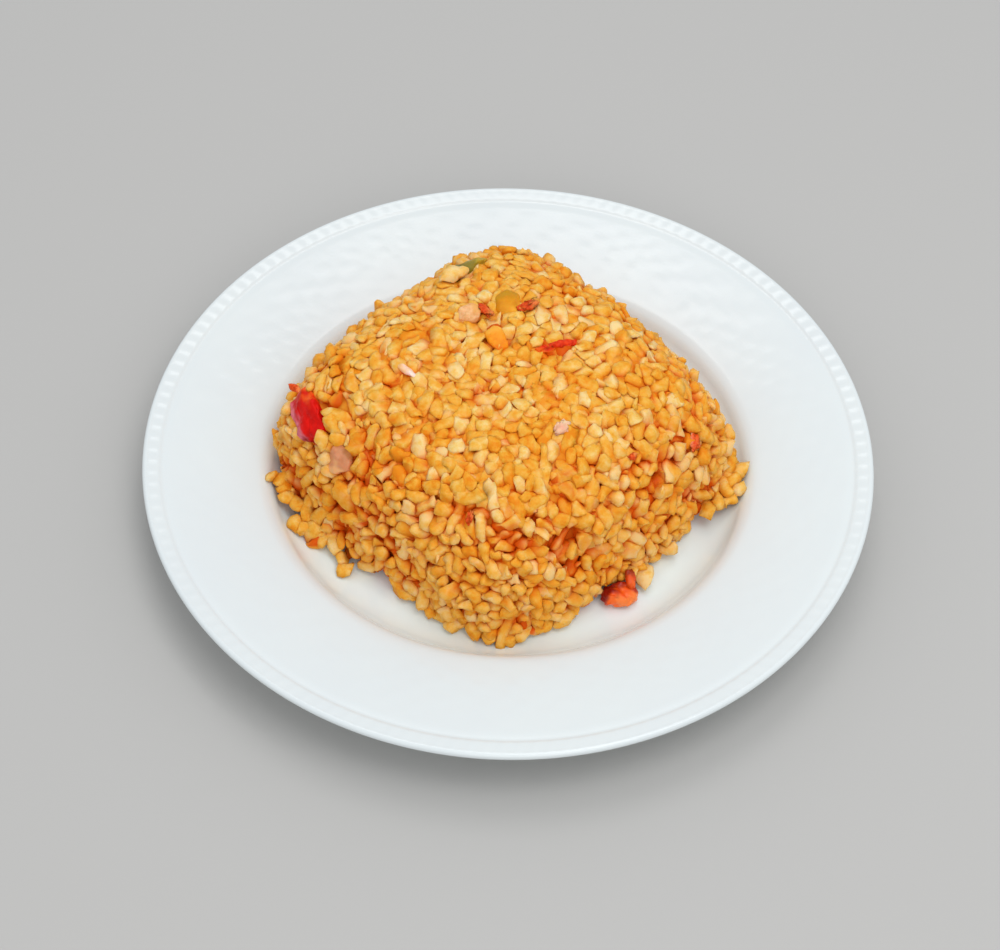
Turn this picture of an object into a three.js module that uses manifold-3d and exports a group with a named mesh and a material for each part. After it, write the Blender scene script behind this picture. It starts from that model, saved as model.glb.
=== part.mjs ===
// A moulded mound of bulgur pilaf with pieces of pepper, tomato and onion, on a white porcelain plate.
// Units are millimetres and +Z is up. The origin is the centre of the plate's foot ring, on the table.
import * as THREE from "three";
import { mergeVertices } from "three/addons/utils/BufferGeometryUtils.js";
import Module from "manifold-3d";

const wasm = await Module();
wasm.setup();

// ---------------------------------------------------------------- driving dimensions

const GAP = 0.3; // clearance between pieces that touch
const AROUND = 64; // facets around the plate and around the mound
const CHUNK_FACETS = 12; // facets around a piece of vegetable
const CLUMP_FACETS = 10;

const plate = {
  radius: 132.5,
  edgeHeight: 24, // highest point of the rim
  edgeThickness: 3,
  foldRadius: 87.5, // where the rim folds down into the well
  foldHeight: 17,
  wellRadius: 73, // flat floor of the well
  wellHeight: 7,
  bandWidth: 6.6, // smooth band inside the edge, with a shallow groove along its inner side
  grooveWidth: 1.6,
  grooveDepth: 0.3,
  wall: 4.2,
  footRadius: 80, // middle of the foot ring
  footWidth: 5,
  recess: 2.6, // the underside of the well above the table
};

const mound = {
  centreX: -2.2,
  centreY: 5.6,
  halfAcross: 86.5, // half of the left to right diagonal of the rounded square
  halfDeep: 84.5, // half of the front to back diagonal
  height: 58, // above the floor of the well
  sideCorners: 5.5, // how far the side corners of the foot lie forward of the middle
  squareness: 1.29, // 1 is a diamond, 2 an ellipse
  cornerRounding: 0.06, // 0 leaves the corners of the plan at their sharpest
  shoulder: 4.05, // larger is a fuller shoulder
  crown: 2.16, // larger is a flatter top
  lump: 1.1, // how far the packed grains swell out or in
  rings: 17, // rings of facets from the top to the foot
};

// Clumps of grains that have slipped from the foot onto the well.
// bearing is in degrees from +X and reach is measured from the plate's axis. length runs around the
// plate and width towards its axis.
const clumps = [
  { bearing: 190, reach: 81.5, length: 17, width: 10, height: 16 },
  { bearing: 203, reach: 75.5, length: 18, width: 13, height: 16 },
  { bearing: 216, reach: 71, length: 8, width: 13, height: 9 },
  { bearing: 352, reach: 81, length: 14, width: 12, height: 13 },
  { bearing: 357, reach: 83.5, length: 7, width: 15, height: 12 },
  { bearing: 316, reach: 69, length: 8.5, width: 10, height: 13 },
];

// Pieces in the mound's surface. azimuth is in degrees from +X about the mound's centre, level runs
// from 0 at the top to 1 at the foot, turn is measured from the line along the level, and sunk is how
// deep the middle of the piece lies.
const vegetables = [
  {
    name: "pepper_red", azimuth: 189, level: 0.87, turn: -6,
    length: 23, width: 12.5, thickness: 6, sunk: 1.4, bend: 0.5, taper: -0.3, square: 0.62,
    color: 0xc41a10,
  },
  {
    name: "onion_browned", azimuth: 206, level: 0.885, turn: 78,
    length: 11.5, width: 9.5, thickness: 5, sunk: 1.3, bend: 0.15, taper: 0.12, square: 0.9,
    color: 0xc47550,
  },
  {
    name: "pepper_green_strip", azimuth: 108, level: 0.68, turn: 14,
    length: 22, width: 7, thickness: 4.5, sunk: 1, bend: 0.7, taper: 0.1, square: 0.6,
    color: 0x787518,
  },
  {
    name: "pepper_green_square", azimuth: 88, level: 0.33, turn: 96,
    length: 11.5, width: 8.5, thickness: 4.5, sunk: 1, bend: 0.2, taper: 0.15, square: 0.5,
    color: 0xc08a20,
  },
  {
    name: "tomato_shred", azimuth: 20, level: 0.26, turn: 88,
    length: 16, width: 6, thickness: 3.6, sunk: 0.8, bend: 0.6, taper: 0.2, square: 0.7,
    color: 0xd23c12,
  },
  {
    name: "pepper_orange", azimuth: 107, level: 0.13, turn: 82,
    length: 12, width: 6.5, thickness: 4, sunk: 0.8, bend: 0.3, taper: -0.1, square: 0.6,
    color: 0xf09628,
  },
  {
    name: "onion_beige", azimuth: 120, level: 0.35, turn: 30,
    length: 9.5, width: 8, thickness: 4, sunk: 0.9, bend: 0.2, taper: 0.1, square: 0.7,
    color: 0xe2a566,
  },
  {
    name: "onion_white", azimuth: 189, level: 0.43, turn: 20,
    length: 8.6, width: 4.8, thickness: 3.6, sunk: 0.7, bend: 0.3, taper: 0.2, square: 0.8,
    color: 0xf0c8a8,
  },
];

// The bit of tomato that lies on the well in front of the mound.
const tomatoFoot = {
  name: "tomato_foot",
  x: 40.5, y: -57, turn: 16,
  length: 13, width: 9.5, thickness: 8, bend: -0.4, taper: 0.2, square: 0.75,
  color: 0xf0522a,
};

// ---------------------------------------------------------------- closed solids

// A geometry as a manifold solid: positions only, with shared vertices merged and no empty facets.
function solidOf(geometry) {
  const bare = geometry.clone();
  bare.deleteAttribute("normal");
  bare.deleteAttribute("uv");
  const merged = mergeVertices(bare, 1e-4);
  const index = merged.index.array;
  const triangles = [];
  for (let i = 0; i < index.length; i += 3) {
    const [a, b, c] = [index[i], index[i + 1], index[i + 2]];
    if (a !== b && b !== c && c !== a) triangles.push(a, b, c);
  }
  return new wasm.Manifold(
    new wasm.Mesh({
      numProp: 3,
      vertProperties: new Float32Array(merged.attributes.position.array),
      triVerts: new Uint32Array(triangles),
    }),
  );
}

function geometryOf(solid) {
  const mesh = solid.getMesh();
  const geometry = new THREE.BufferGeometry();
  geometry.setAttribute("position", new THREE.BufferAttribute(mesh.vertProperties, 3));
  geometry.setIndex(new THREE.BufferAttribute(mesh.triVerts, 1));
  geometry.computeVertexNormals();
  return geometry;
}

// A lathe about the Z axis from a profile of [radius, height] that starts and ends on the axis, going
// from the top down.
function latheGeometry(profile) {
  const points = profile.map(([radius, height]) => new THREE.Vector2(radius, height)).reverse();
  return new THREE.LatheGeometry(points, AROUND).rotateX(Math.PI / 2);
}

// Points on a quarter of an ellipse about (cx, cy), from the angle start to the angle end.
function arc(cx, cy, rx, ry, start, end, steps) {
  const points = [];
  for (let i = 0; i <= steps; i += 1) {
    const angle = start + ((end - start) * i) / steps;
    points.push([cx + rx * Math.cos(angle), cy + ry * Math.sin(angle)]);
  }
  return points;
}

// ---------------------------------------------------------------- plate

// The cavetto between the well's floor and the fold: a quarter of an ellipse stopped short of upright,
// so that its end is steep and the fold is crisp.
function cavetto(inset) {
  const steepest = THREE.MathUtils.degToRad(72);
  const rx = (plate.foldRadius - plate.wellRadius) / Math.sin(steepest);
  const ry = (plate.foldHeight - plate.wellHeight) / (1 - Math.cos(steepest));
  const centreHeight = plate.wellHeight + ry;
  const start = -Math.PI / 2;
  return arc(plate.wellRadius - inset, centreHeight + inset, rx, ry, start, start + steepest, 6);
}

// Upper side of the plate from the axis outwards, raised by the inset.
function plateTop(inset) {
  return [[0, plate.wellHeight + inset], ...cavetto(inset)];
}

function plateProfile() {
  const { radius, edgeHeight, foldRadius, foldHeight, wellRadius, wall, recess } = plate;
  const { bandWidth, grooveWidth, grooveDepth } = plate;
  const slope = (edgeHeight - foldHeight) / (radius - foldRadius);
  const rimHeight = (r) => foldHeight + slope * (r - foldRadius);
  const flat = foldRadius + 16;
  const groove = radius - bandWidth - grooveWidth;
  const band = radius - bandWidth;
  const rim = [
    [foldRadius + 1.2, foldHeight + 0.6], // rolled over the fold
    [flat, rimHeight(flat) + 0.2],
    [groove, rimHeight(groove) - grooveDepth],
    [band, rimHeight(band) + 0.3],
  ];
  const edgeArc = plate.edgeThickness / 2;
  const top = Math.PI / 2;
  const edge = arc(radius - edgeArc, edgeHeight - edgeArc, edgeArc, edgeArc, top, -top, 5);
  const footInside = plate.footRadius - plate.footWidth / 2;
  const footOutside = plate.footRadius + plate.footWidth / 2;
  const under = [
    [flat, rimHeight(flat) - wall],
    [foldRadius + 2.5, foldHeight - wall],
    [foldRadius, foldHeight - 1.5 * wall],
    [footOutside + 1.2, recess + 1.4],
  ];
  const foot = [
    [footOutside, 0.6],
    [footOutside - 1, 0],
    [footInside + 1, 0],
    [footInside, 0.6],
    [footInside - 1.2, recess - 0.4],
    [wellRadius - 1.5, recess],
  ];
  return [...plateTop(0), ...rim, ...edge, ...under, ...foot, [0, recess]];
}

function makePlate() {
  return solidOf(latheGeometry(plateProfile()));
}

// The plate's upper side raised by the gap, with everything under it: it trims what rests in the well.
function makeWellClearance() {
  const top = plateTop(GAP);
  const [foldX, foldZ] = top[top.length - 1];
  const beyond = plate.radius + 10;
  const below = -10;
  const outside = [
    [foldX + 1.2, foldZ + 0.6 + GAP],
    [beyond, plate.edgeHeight + 4],
    [beyond, below],
    [0, below],
  ];
  return solidOf(latheGeometry([...top, ...outside]));
}

// Height of the plate's upper side, for what stands in the well.
function wellSurface(radius) {
  const points = plateTop(0);
  const next = points.findIndex(([r]) => r >= radius);
  if (next < 1) return plate.foldHeight;
  const [r0, z0] = points[next - 1];
  const [r1, z1] = points[next];
  return z0 + ((z1 - z0) * (radius - r0)) / (r1 - r0);
}

// ---------------------------------------------------------------- mound

// A point of the mound's smooth outer surface. level is 0 at the top and 1 at the foot.
function moundPoint(azimuth, level) {
  const rise = Math.pow(1 - level ** mound.shoulder, 1 / mound.crown);
  const forward = mound.sideCorners * level ** 3;
  const towardsBack = Math.sin(azimuth) >= 0 ? 1 : -1;
  const across = Math.max(mound.halfAcross * level, 1e-6);
  const deep = Math.max(mound.halfDeep * level + towardsBack * forward, 1e-6);
  const shareAcross = Math.hypot(Math.cos(azimuth), mound.cornerRounding) / across;
  const shareDeep = Math.hypot(Math.sin(azimuth), mound.cornerRounding) / deep;
  const { squareness } = mound;
  const reach = (shareAcross ** squareness + shareDeep ** squareness) ** (-1 / squareness);
  return new THREE.Vector3(
    mound.centreX + reach * Math.cos(azimuth),
    mound.centreY - forward + reach * Math.sin(azimuth),
    plate.wellHeight + mound.height * rise,
  );
}

// The point with its outward normal and the direction along its level.
function moundFrame(azimuth, level) {
  const step = 1e-3;
  const at = moundPoint(azimuth, level);
  const along = moundPoint(azimuth + step, level).sub(moundPoint(azimuth - step, level));
  const down = moundPoint(azimuth, level + step).sub(moundPoint(azimuth, level - step));
  const out = new THREE.Vector3().crossVectors(down, along).normalize();
  return { at, along: along.normalize(), out };
}

// How far the packed grains swell out at a point: crossing waves a few grains long.
function swell({ x, y, z }) {
  const long = 0.17;
  const middle = 0.3;
  const short = 0.45;
  const waves =
    Math.sin(x * middle + z * long) * Math.cos(y * middle - z * long + 1.1) +
    0.6 * Math.sin(x * long - y * short) +
    0.5 * Math.cos(x * short + y * long - z * middle + 2.3);
  return mound.lump * (0.5 * waves - 0.2);
}

// A lathe of rings, from the top down the side to the foot and across a flat floor, whose vertices are
// then moved out to the mound's rounded square and swollen by the grains. The floor lies inside the
// plate, which trims it.
function makeMound() {
  const floorDrop = 0.1;
  const profile = [[0, 1]];
  for (let i = 1; i <= mound.rings; i += 1) {
    const level = Math.sin((Math.PI / 2) * (i / mound.rings)) ** 0.75; // closer round the shoulder
    profile.push([level, 1 - level ** mound.shoulder]);
  }
  profile.push([1, -floorDrop], [0, -floorDrop]);
  const lathe = latheGeometry(profile);
  const position = lathe.attributes.position;
  for (let i = 0; i < position.count; i += 1) {
    const azimuth = Math.atan2(position.getY(i), position.getX(i));
    const level = Math.min(Math.hypot(position.getX(i), position.getY(i)), 1);
    const point = moundPoint(azimuth, level);
    const outward = new THREE.Vector3(Math.cos(azimuth), Math.sin(azimuth), 0);
    outward.lerp(new THREE.Vector3(0, 0, 1), 1 - 0.8 * level ** 3).normalize();
    point.addScaledVector(outward, swell(point));
    if (position.getZ(i) < 0) point.setZ(plate.wellHeight - mound.height * floorDrop);
    position.setXYZ(i, point.x, point.y, point.z);
  }
  return solidOf(lathe);
}

// ---------------------------------------------------------------- chunks and clumps

// A rounded chunk along X: a sphere squared off, thinned at one end and bent across its length.
function chunkGeometry({ length, width, thickness, bend, taper, square }, grow, facets) {
  const sphere = new THREE.SphereGeometry(1, facets, Math.round(facets * 0.6));
  const position = sphere.attributes.position;
  const squared = (value) => Math.sign(value) * Math.pow(Math.abs(value), square);
  for (let i = 0; i < position.count; i += 1) {
    const x = squared(position.getX(i));
    const y = squared(position.getY(i));
    const z = squared(position.getZ(i));
    const wide = 1 + taper * x + 0.08 * Math.sin(4.1 * x + 1);
    position.setXYZ(
      i,
      x * (length / 2 + grow),
      y * (width / 2 + grow) * wide,
      z * (thickness / 2 + grow) - bend * (x * x - 0.4) * (thickness / 2),
    );
  }
  return sphere;
}

function placeInMound({ azimuth, level, turn, sunk }) {
  const { at, along, out } = moundFrame(THREE.MathUtils.degToRad(azimuth), level);
  const across = new THREE.Vector3().crossVectors(out, along);
  const place = new THREE.Matrix4().makeBasis(along, across, out);
  place.multiply(new THREE.Matrix4().makeRotationZ(THREE.MathUtils.degToRad(turn)));
  return place.setPosition(at.addScaledVector(out, -sunk));
}

// A place whose middle is the given lift above the well's surface.
function placeOnWell(x, y, turn, lift) {
  const place = new THREE.Matrix4().makeRotationZ(THREE.MathUtils.degToRad(turn));
  return place.setPosition(x, y, wellSurface(Math.hypot(x, y)) + lift);
}

function makeClump({ bearing, reach, length, width, height }) {
  const angle = THREE.MathUtils.degToRad(bearing);
  const place = placeOnWell(reach * Math.cos(angle), reach * Math.sin(angle), bearing + 90, 0);
  const shape = { length, width, thickness: height, bend: 0.1, taper: 0.1, square: 0.85 };
  return solidOf(chunkGeometry(shape, 0, CLUMP_FACETS).applyMatrix4(place));
}

// ---------------------------------------------------------------- assembly

function namedMesh(name, solid, color, roughness) {
  const material = new THREE.MeshStandardMaterial({ color, roughness, metalness: 0 });
  const mesh = new THREE.Mesh(geometryOf(solid), material);
  mesh.name = name;
  return mesh;
}

const wellClearance = makeWellClearance();
const group = new THREE.Group();
group.add(namedMesh("plate", makePlate(), 0xe6e9ea, 0.15));

const placed = vegetables.map((shape) => ({ shape, place: placeInMound(shape) }));
const { x, y, turn, thickness } = tomatoFoot;
placed.push({ shape: tomatoFoot, place: placeOnWell(x, y, turn, thickness / 2) });

let heap = makeMound();
for (const clump of clumps) heap = heap.add(makeClump(clump));
heap = heap.subtract(wellClearance);
for (const { shape, place } of placed) {
  const piece = solidOf(chunkGeometry(shape, 0, CHUNK_FACETS).applyMatrix4(place));
  const pocket = solidOf(chunkGeometry(shape, GAP, CHUNK_FACETS).applyMatrix4(place));
  heap = heap.subtract(pocket);
  group.add(namedMesh(shape.name, piece.subtract(wellClearance), shape.color, 0.35));
}
group.add(namedMesh("pilaf", heap, 0xe8a540, 0.5));

export default group;
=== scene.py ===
"""Bulgur pilaf on a beaded porcelain plate: the surfaces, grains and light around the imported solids.

Everything is in metres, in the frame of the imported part: +Z up, the origin on the table at the centre
of the plate's foot ring, +Y away from the front corner of the mound.
"""

import logging
import math
from dataclasses import dataclass, field, fields
from enum import Enum
from typing import Any, Iterable, Sequence

import bmesh
import bpy
import numpy as np
from bmesh.types import BMesh, BMVert
from bpy.types import Material, Mesh, Node, NodeSocket, NodeTree, Object
from mathutils import Matrix, Vector, noise
from mathutils.bvhtree import BVHTree


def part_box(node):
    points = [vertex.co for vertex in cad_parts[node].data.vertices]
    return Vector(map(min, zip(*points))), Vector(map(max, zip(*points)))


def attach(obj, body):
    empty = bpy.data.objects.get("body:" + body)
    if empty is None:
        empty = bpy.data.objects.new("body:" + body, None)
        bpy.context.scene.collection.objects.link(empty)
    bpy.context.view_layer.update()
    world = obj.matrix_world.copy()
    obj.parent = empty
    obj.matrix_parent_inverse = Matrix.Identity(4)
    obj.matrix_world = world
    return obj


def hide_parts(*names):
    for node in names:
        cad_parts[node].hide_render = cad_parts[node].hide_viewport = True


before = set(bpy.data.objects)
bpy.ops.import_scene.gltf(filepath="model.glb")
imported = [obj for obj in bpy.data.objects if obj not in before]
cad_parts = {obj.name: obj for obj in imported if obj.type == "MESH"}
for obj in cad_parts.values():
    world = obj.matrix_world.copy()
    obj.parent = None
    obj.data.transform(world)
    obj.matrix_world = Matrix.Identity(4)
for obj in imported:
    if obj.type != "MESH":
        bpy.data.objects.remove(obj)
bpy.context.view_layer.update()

LOG = logging.getLogger("pilaf")
MM = 0.001
BODY = "root"
UP = Vector((0.0, 0.0, 1.0))
CRUMPLE_SEED = 2
MERGE_DISTANCE = 0.001 * MM

Settings = dict[str | int, Any]
Place = tuple[float, float, float]


# ------------------------------------------------------------------ small helpers


def linear(hex_colour: str) -> tuple[float, float, float, float]:
    """Turns an sRGB colour of six hex digits into linear light with an alpha of one."""
    digits = hex_colour.lstrip("#")
    channels = [int(digits[i : i + 2], 16) / 255.0 for i in (0, 2, 4)]
    light = [c / 12.92 if c <= 0.04045 else ((c + 0.055) / 1.055) ** 2.4 for c in channels]
    return light[0], light[1], light[2], 1.0


def smoothstep(low: float, high: float, value: Any) -> Any:
    """Eases from 0 at low to 1 at high, for numbers and arrays."""
    t = np.clip((value - low) / (high - low), 0.0, 1.0)
    return t * t * (3.0 - 2.0 * t)


def unit_rows(rows: np.ndarray) -> np.ndarray:
    """Scales each row of an array to length one."""
    return rows / np.maximum(np.linalg.norm(rows, axis=-1, keepdims=True), 1e-12)


def add_node(
    tree: NodeTree,
    kind: str,
    settings: Settings | None = None,
    links: dict[str | int, NodeSocket] | None = None,
) -> Node:
    """Adds a node, sets it up and links it.

    Args:
        tree: The node tree to add to.
        kind: The node's type, such as "ShaderNodeTexNoise".
        settings: Values by input name or number or, where there is no such input, by property name.
        links: Output sockets by the name or number of the input that they feed.

    Returns:
        The new node.
    """
    node = tree.nodes.new(kind)
    for name, value in (settings or {}).items():
        if isinstance(name, int) or name in node.inputs:
            node.inputs[name].default_value = value
        else:
            setattr(node, name, value)
    for name, socket in (links or {}).items():
        tree.links.new(socket, node.inputs[name])
    return node


def add_ramp(tree: NodeTree, factor: NodeSocket, stops: Sequence[tuple[float, str]]) -> NodeSocket:
    """Adds a colour ramp over a factor.

    Args:
        tree: The node tree to add to.
        factor: The socket that runs along the ramp.
        stops: Positions and sRGB hex colours, from low to high.

    Returns:
        The ramp's colour output.
    """
    ramp = add_node(tree, "ShaderNodeValToRGB", links={"Fac": factor})
    elements = ramp.color_ramp.elements
    while len(elements) < len(stops):
        elements.new(0.5)
    for element, (position, colour) in zip(elements, stops):
        element.position = position
        element.color = linear(colour)
    return ramp.outputs["Color"]


def new_material(name: str, settings: Settings) -> tuple[Material, NodeTree, Node]:
    """Makes a material of just a Principled surface.

    Args:
        name: The material's name.
        settings: Values for the shader's own sockets.

    Returns:
        The material, its node tree and the Principled shader.
    """
    material = bpy.data.materials.new(name)
    material.use_nodes = True
    tree = material.node_tree
    tree.nodes.clear()
    shader = add_node(tree, "ShaderNodeBsdfPrincipled", settings)
    add_node(tree, "ShaderNodeOutputMaterial", links={"Surface": shader.outputs["BSDF"]})
    return material, tree, shader


def dress(tree: NodeTree, shader: Node, colour: NodeSocket, height: NodeSocket, bump: Settings) -> None:
    """Gives a shader its colour and a fine relief of a height, as strong and deep as bump tells."""
    relief = add_node(tree, "ShaderNodeBump", bump, {"Height": height})
    tree.links.new(colour, shader.inputs["Base Color"])
    tree.links.new(relief.outputs["Normal"], shader.inputs["Normal"])


def object_of(mesh: Mesh, material: Material) -> Object:
    """Shades a mesh smooth, gives it a finish and links an object of the same name at the origin."""
    mesh.shade_smooth()
    mesh.materials.append(material)
    piece = bpy.data.objects.new(mesh.name, mesh)
    bpy.context.scene.collection.objects.link(piece)
    return piece


def object_from(bm: BMesh, name: str, material: Material) -> Object:
    """Turns a bmesh in the part's frame into a smooth-shaded object and frees the bmesh."""
    mesh = bpy.data.meshes.new(name)
    bm.to_mesh(mesh)
    bm.free()
    return object_of(mesh, material)


def store(mesh: Mesh, label: str, values: np.ndarray) -> None:
    """Stores one number a vertex under a name that materials can read."""
    attribute = mesh.attributes.new(label, "FLOAT", "POINT")
    attribute.data.foreach_set("value", values.astype(np.float32))


# ------------------------------------------------------------------ finishes


@dataclass(frozen=True)
class Porcelain:
    """Glazed white porcelain, cast and fired with a clear glaze.

    The glaze gives sharp but soft-edged reflections over a faintly cool white body, and lies a little
    unevenly, which shows as a slow ripple in the reflections. In the well the white is lighter and a
    little bluer. The thicker glaze there gives part of the blue; the rest is painted light that offsets
    the shade and the orange bounce that the mound throws into the well.
    """

    body: str = "#dfe6e6"
    shade: str = "#dde4e5"
    # Painted light in part: the lighter, bluer white that the well fades to.
    painted_well_light: str = "#eaf8fa"
    well_light_edge: tuple[float, float] = (91.0 * MM, 82.0 * MM)
    clouds: float = 40.0 * MM
    ripple: float = 9.0 * MM
    ripple_depth: float = 0.12 * MM

    def build(self) -> Material:
        """Makes the material."""
        material, tree, shader = new_material("glazed_porcelain", {"Roughness": 0.16, "IOR": 1.5})
        place = add_node(tree, "ShaderNodeTexCoord").outputs["Object"]
        clouds, ripple = (
            add_node(tree, "ShaderNodeTexNoise", {"Scale": 1.0 / size, "Detail": detail}, {"Vector": place})
            for size, detail in ((self.clouds, 2.0), (self.ripple, 1.0))
        )
        colour = add_ramp(tree, clouds.outputs["Fac"], [(0.3, self.shade), (0.7, self.body)])
        flattened = {"operation": "MULTIPLY", 1: (1.0, 1.0, 0.0)}
        across = add_node(tree, "ShaderNodeVectorMath", flattened, {0: place}).outputs["Vector"]
        radius = add_node(tree, "ShaderNodeVectorMath", {"operation": "LENGTH"}, {0: across})
        # Painted light in part: towards the middle the colour fades to that lighter, bluer white over the
        # well.
        outer, inner = self.well_light_edge
        eased = {"interpolation_type": "SMOOTHSTEP", "From Min": outer, "From Max": inner}
        well_light = add_node(tree, "ShaderNodeMapRange", eased, {"Value": radius.outputs["Value"]})
        lighter_and_bluer = {"data_type": "RGBA", 7: linear(self.painted_well_light)}
        mixed = add_node(tree, "ShaderNodeMix", lighter_and_bluer, {0: well_light.outputs["Result"], 6: colour})
        bump = {"Strength": 0.25, "Distance": self.ripple_depth}
        dress(tree, shader, mixed.outputs[2], ripple.outputs["Fac"], bump)
        return material


@dataclass(frozen=True)
class CookedGrain:
    """Cooked cracked wheat coated in a thin oily tomato sauce.

    The starch has swollen to a soft, slightly translucent cream body that takes up the orange of the
    sauce unevenly, so some grains stay pale and others turn deep orange. The colour also turns deeper
    and darker orange low between the grains, down the mound's sides, where grains are squeezed and in
    creases. Part of this is sauce that gathers there and part is painted shade. The oil leaves a soft sheen.
    """

    stops: tuple[tuple[float, str], ...] = (
        (0.0, "#f0d494"),
        (0.25, "#eec56e"),
        (0.55, "#ebb145"),
        (0.8, "#e89f2c"),
        (1.0, "#e48818"),
    )
    sauce: str = "#f0921a"
    # Painted shade in part: the darkest orange, deep in the crevices.
    deep_sauce: str = "#da5a08"
    blotch: float = 3.4 * MM
    unevenness: float = 2.1
    fine: float = 1.7 * MM
    fine_depth: float = 0.5 * MM

    def build(self) -> Material:
        """Makes the material; it reads the attributes "tint" and "sauce" of the grains; "sauce" carries
        painted shade too.
        """
        soft = {"Subsurface Weight": 0.25, "Subsurface Radius": (1.0, 0.6, 0.3), "Subsurface Scale": 0.7 * MM}
        oily = {"Roughness": 0.42, "IOR": 1.4, "Specular IOR Level": 0.12}
        material, tree, shader = new_material("cooked_bulgur", {**oily, **soft})
        place = add_node(tree, "ShaderNodeTexCoord").outputs["Object"]
        tint, sauce = (
            add_node(tree, "ShaderNodeAttribute", {"attribute_name": label}).outputs["Fac"]
            for label in ("tint", "sauce")
        )
        blotch, fine = (
            add_node(
                tree,
                "ShaderNodeTexNoise",
                {"Scale": 1.0 / size, "Detail": detail, "Roughness": rough},
                {"Vector": place},
            ).outputs["Fac"]
            for size, detail, rough in ((self.blotch, 4.0, 0.62), (self.fine, 3.0, 0.55))
        )
        spread = {"operation": "MULTIPLY_ADD", 1: self.unevenness}
        uneven = add_node(tree, "ShaderNodeMath", spread, {0: blotch, 2: tint}).outputs[0]
        back = {"operation": "SUBTRACT", 1: self.unevenness / 2}
        centred = add_node(tree, "ShaderNodeMath", back, {0: uneven}).outputs[0]
        colour = add_ramp(tree, centred, self.stops)
        # Where "sauce" is high the colour turns deep orange and darker. This is gathered sauce and painted
        # shade of the crevices and the sides.
        soaked = add_ramp(tree, sauce, [(0.35, self.sauce), (1.0, self.deep_sauce)])
        mixed = add_node(tree, "ShaderNodeMix", {"data_type": "RGBA"}, {0: sauce, 6: colour, 7: soaked})
        dress(tree, shader, mixed.outputs[2], fine, {"Strength": 0.35, "Distance": self.fine_depth})
        return material


@dataclass(frozen=True)
class SaucedCore:
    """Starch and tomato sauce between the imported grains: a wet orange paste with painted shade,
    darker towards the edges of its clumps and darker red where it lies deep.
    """

    lit: str = "#e49a2a"
    shaded: str = "#dc7e10"
    deep: str = "#c04a0a"
    clumps: float = 4.5 * MM
    clump_depth: float = 0.8 * MM

    def build(self) -> Material:
        """Makes the material; it reads the attribute "deep" of the core."""
        wet = {"Roughness": 0.5, "Specular IOR Level": 0.12}
        material, tree, shader = new_material("sauced_core", wet)
        place = add_node(tree, "ShaderNodeTexCoord").outputs["Object"]
        spacing = {"Scale": 1.0 / self.clumps}
        clumps = add_node(tree, "ShaderNodeTexVoronoi", spacing, {"Vector": place}).outputs["Distance"]
        # Painted shade: each clump is lit at its middle and shaded towards its edges.
        colour = add_ramp(tree, clumps, [(0.1, self.lit), (0.7, self.shaded)])
        # Painted shade: darker red where the core lies deep, down the sides and in pits.
        deep = add_node(tree, "ShaderNodeAttribute", {"attribute_name": "deep"})
        deep_shade = {"data_type": "RGBA", 7: linear(self.deep)}
        mixed = add_node(tree, "ShaderNodeMix", deep_shade, {0: deep.outputs["Fac"], 6: colour})
        bump = {"Strength": 0.6, "Distance": self.clump_depth, "invert": True}
        dress(tree, shader, mixed.outputs[2], clumps, bump)
        return material


# ------------------------------------------------------------------ plate


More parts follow.
